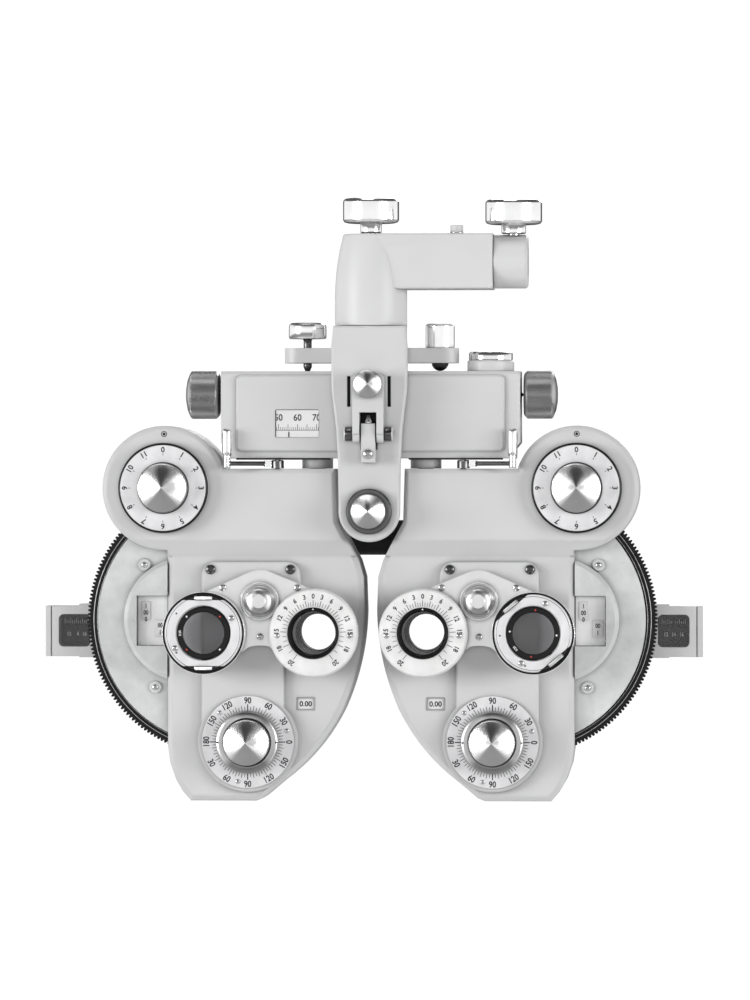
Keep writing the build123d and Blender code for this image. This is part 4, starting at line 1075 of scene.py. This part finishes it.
def pd_window():
    """Pupil-distance scale behind its window, the pointer that rides with the left carriage, and dark strips
    painted as the shadow round the window's edge.
    """
    at = place(PD_WINDOW_X, span("box_cover")[3] + 0.5, PD_WINDOW_Z)
    cover = {"body": "box", "slot": "box_cover", "at": at}
    plate = Shape().box(-12.6, 12.6, 0, 0.6, -8.6, 8.6, 0)
    plate.make("pd_scale_plate", ["scale_white"], bevel=0.1, **cover)
    ink = Ink()
    unit = 0.97
    for value in range(49, 72):
        tall, width = (2.8, 0.28) if value % 5 == 0 else (1.5, 0.2)
        ink.tick(0, tall, math.pi / 2, width, ((value - 60) * unit, -3.2))
    for value in (50, 60, 70):
        ink.text(str(value), (value - 60) * unit, 3.2, 3.3, wide=0.9)
    ink.box(-12.0, 12.0, -0.06, 0.0, -3.5, -3.2)
    ink.make("pd_scale_marks", ["ink"], **cover)
    x, half = -4.4, 0.35
    tip = [(x - half, -6.9), (x + half, -6.9), (x + half, -4.6), (x, -3.7), (x - half, -4.6)]
    Shape().slab(tip, -0.35, -0.1).make("pd_pointer", ["ink"], "carriage_left", at=at)
    # painted shadow: thin dark strips along the window's edges
    shadow_strips = Shape()
    for x0, x1, z0, z1 in ((-11.2, -10.85, -7.2, 7.2), (10.95, 11.2, -7.2, 7.2), (-11.2, 11.2, 6.9, 7.2),
                           (-11.2, 11.2, -7.2, -7.0)):
        shadow_strips.box(x0, x1, -1.2, -0.8, z0, z1)
    shadow_strips.make("pd_window_shadow", ["ink"], **cover)
    Shape().box(-11.2, 11.2, -1.7, -1.3, -7.2, 7.2).make("pd_window_glass", ["glass"], **cover)


def box_gasket():
    """Dark strips under the front edge of the box: painted shadow beneath it."""
    case = span("box_case")
    shadow_strips = Shape()
    for x0, x1 in ((-68.0, -20.0), (20.0, 68.0)):
        shadow_strips.box(x0, x1, case[2] + 1.0, case[2] + 3.2, case[4] - 0.9, case[4] + 0.05)
    shadow_strips.make("box_underside_shadow", ["underside_shadow"], "box", "box_case", at=place(0, 0, 0))


def column_front():
    """Slots, hinge nuts and spring catch where the near-point rod bracket folds into the column; black plates
    in the slots and behind the catch are painted shade of those openings.
    """
    bracket = span("near_rod_bracket")
    middle = (bracket[0] + bracket[1]) / 2
    face = span("box_cover")[2] - 10.0
    slot_shade, nuts = Shape(), Shape()
    hinge = pivot("near_rod_fold")
    nut = [(0, 8.1), (3.1, 8.1), (3.75, 8.6), (3.75, 11.4), (3.2, 12.3), (1.6, 12.6), (1.3, 12.2), (0, 12.2)]
    for s in (-1, 1):
        # painted shade: black plates standing for the dark inside the slots
        slot_shade.box(s * 10.25 - 0.85, s * 10.25 + 0.85, 1.6, 2.4, 115.1, 130.5)
        nuts.lathe([(r, s * x) for r, x in nut], 0, 12, "X", (0, hinge.y, hinge.z))
    slot_shade.make("column_slot_shade", ["tube"], "column", "column", at=place(middle, face, 0))
    nuts.make("bracket_nuts", ["dark_steel"], "column", "column", at=place(middle, 0, 0), bevel=0.15)
    # painted shade: the black plate behind the catch stands for its dark recess
    catch = Shape().box(-4.4, 4.4, face - 0.3, face + 0.2, 93.2, 112.4, 0)
    catch.lathe([(0, 110.6), (0.5, 110.6), (1.9, 107.6), (1.9, 106.6), (0, 106.6)], 1, 32, "Z",
                (0, face - 4.0, 0))
    catch.make("bracket_catch", ["tube", "bright"], "column", "column", at=place(middle, 0, 0))
    screws("latch_screw", "column", [(middle, face - 8.5, 91.0)], 2.5)


def column_knobs():
    """Spun knobs of the near-point rod's clamp and of the forehead rest, the second in its collar."""
    spun_knob("near_rod_clamp_knob", "near_rod_knob", None, 7.3, 1.5, 48, 192)
    collar = [(8.6, 12.6), (9.2, 12.4), (10.9, 12.6), (11.6, 13.4), (11.7, 14.2), (11.7, 15.8), (8.6, 15.8),
              (8.6, 12.6)]
    spun_knob("forehead_knob", "forehead_knob", 8.9, 13.0, 2.0, 48, 192, ["spun", "collar"], [(collar, 128)])


def stop_pin():
    """Hexagon head of the arm's tilt stop pin."""
    cap = Shape().lathe([(0, 0), (3.3, 0), (3.4, 0.4), (3.4, 1.0), (0, 1.0)], 0, 48, "Z")
    hexagon = [(x, y, z) for z in (1.0, 4.4) for x, y in circle(3.1, 6)]
    sides = [(k, (k + 1) % 6, 6 + (k + 1) % 6, 6 + k) for k in range(6)]
    cap.add(hexagon, [tuple(range(6)), tuple(range(11, 5, -1))] + sides)
    cap.make("stop_pin_head", ["steel"], "arm", "arm", at=place(*STOP_PIN), bevel=0.25)


def pad_surface(half, middle, half_tall):
    """Crowned curved pad: a fat rounded section swept round the forehead, thinner at both ends."""
    mean_r, back = 99.0, 140.0
    columns, around = 40, 40
    verts, faces = [], []
    for i in range(columns + 1):
        u = -1 + 2 * i / columns
        fill = max((1 - abs(u) ** 5) ** 0.5 if abs(u) < 1 else 0.0, 0.12)
        angle = u * math.asin((half - 0.6) / mean_r)
        for k in range(around):
            ca, sa = polar(1, 2 * math.pi * k / around)
            dz = half_tall * (0.55 + 0.45 * fill) * math.copysign(abs(sa) ** 0.55, sa)
            dr = 3.6 * fill * math.copysign(abs(ca) ** 0.75, ca) * (1.0 - 0.12 * (dz / half_tall) ** 2)
            welt = 0.35 * math.exp(-(ca / 0.09) ** 2)
            dz += welt * (1 if sa > 0 else -1)
            r = mean_r + dr
            verts.append((r * math.sin(angle), back - r * math.cos(angle), middle + dz))
    for i in range(columns):
        for k in range(around):
            n = (k + 1) % around
            faces.append((i * around + k, i * around + n, (i + 1) * around + n, (i + 1) * around + k))
    last = columns * around
    faces += [tuple(range(around)), tuple(range(last + around - 1, last - 1, -1))]
    return Shape().add(verts, faces)


def forehead_pad():
    """Soft pad of the forehead rest with a welt along its edge, and the stem that carries it."""
    node = "forehead_rest"
    x0, x1, y0, _, z0, _ = span(node)
    low, high = z0, z0 + 17.7
    surface = pad_surface((x1 - x0) / 2, (low + high) / 2, (high - low) / 2)
    pad = surface.make("forehead_pad", ["leather"], "forehead", node, at=place(0, 0, 0), replaces=(node,),
                       sharp=70)
    soft = pad.modifiers.new("soft", "SUBSURF")
    soft.levels = soft.render_levels = 1
    stem = Shape()
    stem.lathe([(2.1, y0), (3.6, y0), (4.0, y0 + 0.4), (4.0, 36.2), (2.1, 36.2), (2.1, y0)], 0, 64, "Y")
    stem.slab([(-9, -13.7), (9, -13.7), (9, 1.5), (6.5, 4.0), (-6.5, 4.0), (-9, 1.5)], 36.0, 38.6, 1)
    at = place(0, 0, pivot("forehead_turn").z)
    stem.make("forehead_stem", ["steel", "black"], "forehead", node, at=at, bevel=0.3)


CAD_LOOKS = {
    "stand_socket": "paint_arm", "arm": "paint_arm", "column": "paint", "level_bar": "paint",
    "box_case": "paint", "box_cover": "paint", "near_rod_bracket": "paint", "carriage": "paint",
    "front_case": "paint_case", "rear_case": "paint_case", "disc_cover": "cover",
    "axis_scale_plate": "satin_dial", "vertex_window": "paint", "face_shield": "shield",
    "weak_sphere_disc": "black",
    "aux_lens_disc": "tube", "strong_sphere_disc": "tube", "cylinder_disc": "tube",
    "turret_plate": "satin", "prism_lens": "glass", "jcc_ring": "chrome", "jcc_lens": "lens",
}


def main():
    for side in SIDES:
        battery = "battery_" + side
        cylinder_unit(side, battery)
        upper_dial(side)
        prism_unit(side)
        cross_cylinder(side)
        turret_details(side)
        case_details(side)
        number_window(side)
        disc_rings(side)
        lens_cells(side)
        vertex_details(side)
        lever(side)
    clamp_knob("socket_clamp_knob", "socket_knob", 6.3)
    clamp_knob("swivel_clamp_knob", "swivel_knob", 5.5)
    level_screw()
    level_plunger()
    bubble()
    pd_drive()
    pd_window()
    box_gasket()
    column_front()
    column_knobs()
    stop_pin()
    forehead_pad()
    for node in nodes:
        kind = node.removesuffix("_left").removesuffix("_right")
        if kind in CAD_LOOKS:
            dress(node, CAD_LOOKS[kind])


# ------------------------------------------------------------------ studio
def area(name, offset, size, watts, target):
    """Soft rectangular light, metres from the target and aimed at it."""
    light = bpy.data.lights.new(name, "AREA")
    light.shape = "RECTANGLE"
    light.size, light.size_y = size
    light.energy = watts
    obj = link(name, light)
    obj.location = target + Vector(offset)
    obj.rotation_euler = (target - obj.location).to_track_quat("-Z", "Y").to_euler()


# Brightness that the object sees, against how far a ray points up or down: a light band all
# round, dark above and below it, and a little light from straight above.
SKY = ((0.0, 1.08), (0.20, 1.0), (0.36, 0.10), (0.80, 0.10), (1.0, 0.5))


def surroundings(scene):
    """White for the camera; for the object a light band that fades to dark far behind it."""
    scene.world = bpy.data.worlds.new("studio")
    scene.world.use_nodes = True
    tree = Tree(scene.world.node_tree)
    out = tree.add("ShaderNodeOutputWorld")
    seen = tree.add("ShaderNodeBackground", Color=grey(1.0), Strength=1.05)
    lit = tree.add("ShaderNodeBackground", Strength=1.0)
    ray = tree.axes(tree.add("ShaderNodeTexCoord"), "Generated")
    steep = tree.math("ABSOLUTE", ray, "Z")
    sky = tree.levels(steep, "Value", [(where, grey(value)) for where, value in SKY])
    behind = tree.add("ShaderNodeMapRange", interpolation_type="SMOOTHSTEP", From_Min=0.72, From_Max=0.90,
                      To_Min=1.0, To_Max=0.05)
    tree.link(ray, "Y", behind, "Value")
    tree.link(tree.scaled(sky, behind, "Result"), "Vector", lit, "Color")
    mix = tree.add("ShaderNodeMixShader")
    tree.link(tree.add("ShaderNodeLightPath"), "Is Camera Ray", mix, "Fac")
    tree.link(lit, "Background", mix, 1)
    tree.link(seen, "Background", mix, 2)
    tree.link(mix, "Shader", out, "Surface")


def pale_floor():
    """Wide pale floor, which glows a little for the camera alone."""
    half, drop = 6.0, -1.25
    floor = bpy.data.meshes.new("floor")
    floor.from_pydata([(-half, -half, drop), (half, -half, drop), (half, half, drop), (-half, half, drop)],
                      [], [(0, 1, 2, 3)])
    pale = paint("floor_pale", 0.82, 0.6, 0)
    shader = glow(pale, 0.0)
    links, new = pale.node_tree.links, pale.node_tree.nodes.new
    share = new("ShaderNodeMath")
    share.operation = "MULTIPLY"
    share.inputs[1].default_value = 0.45
    links.new(new("ShaderNodeLightPath").outputs["Is Camera Ray"], share.inputs[0])
    links.new(share.outputs["Value"], shader.inputs["Emission Strength"])
    floor.materials.append(pale)
    link("floor", floor)


def studio():
    scene = bpy.context.scene
    target = place(2.5, -20.0, 67.6)
    surroundings(scene)
    area("left", (-2.0, -1.3, 0.15), (1.2, 0.9), 33, target)
    area("right", (2.0, -1.3, 0.15), (1.2, 0.9), 28, target)
    area("top", (-0.3, -0.8, 2.2), (1.4, 0.8), 11, target)
    area("back", (0.5, 2.4, 1.1), (1.5, 1.0), 22, target)
    pale_floor()
    distance, tall = 3.2, 0.510
    camera = bpy.data.cameras.new("camera")
    camera.sensor_fit = "VERTICAL"
    camera.sensor_height = 36
    camera.lens = 36 * distance / tall
    camera.clip_start, camera.clip_end = 0.05, 50
    eye = link("camera", camera)
    around = math.radians(3.3)
    eye.location = target + distance * Vector((math.sin(around), -math.cos(around), 0))
    eye.rotation_euler = (target - eye.location).to_track_quat("-Z", "Y").to_euler()
    scene.camera = eye
    scene.view_settings.view_transform = "Standard"


main()
studio()
bpy.context.view_layer.update()
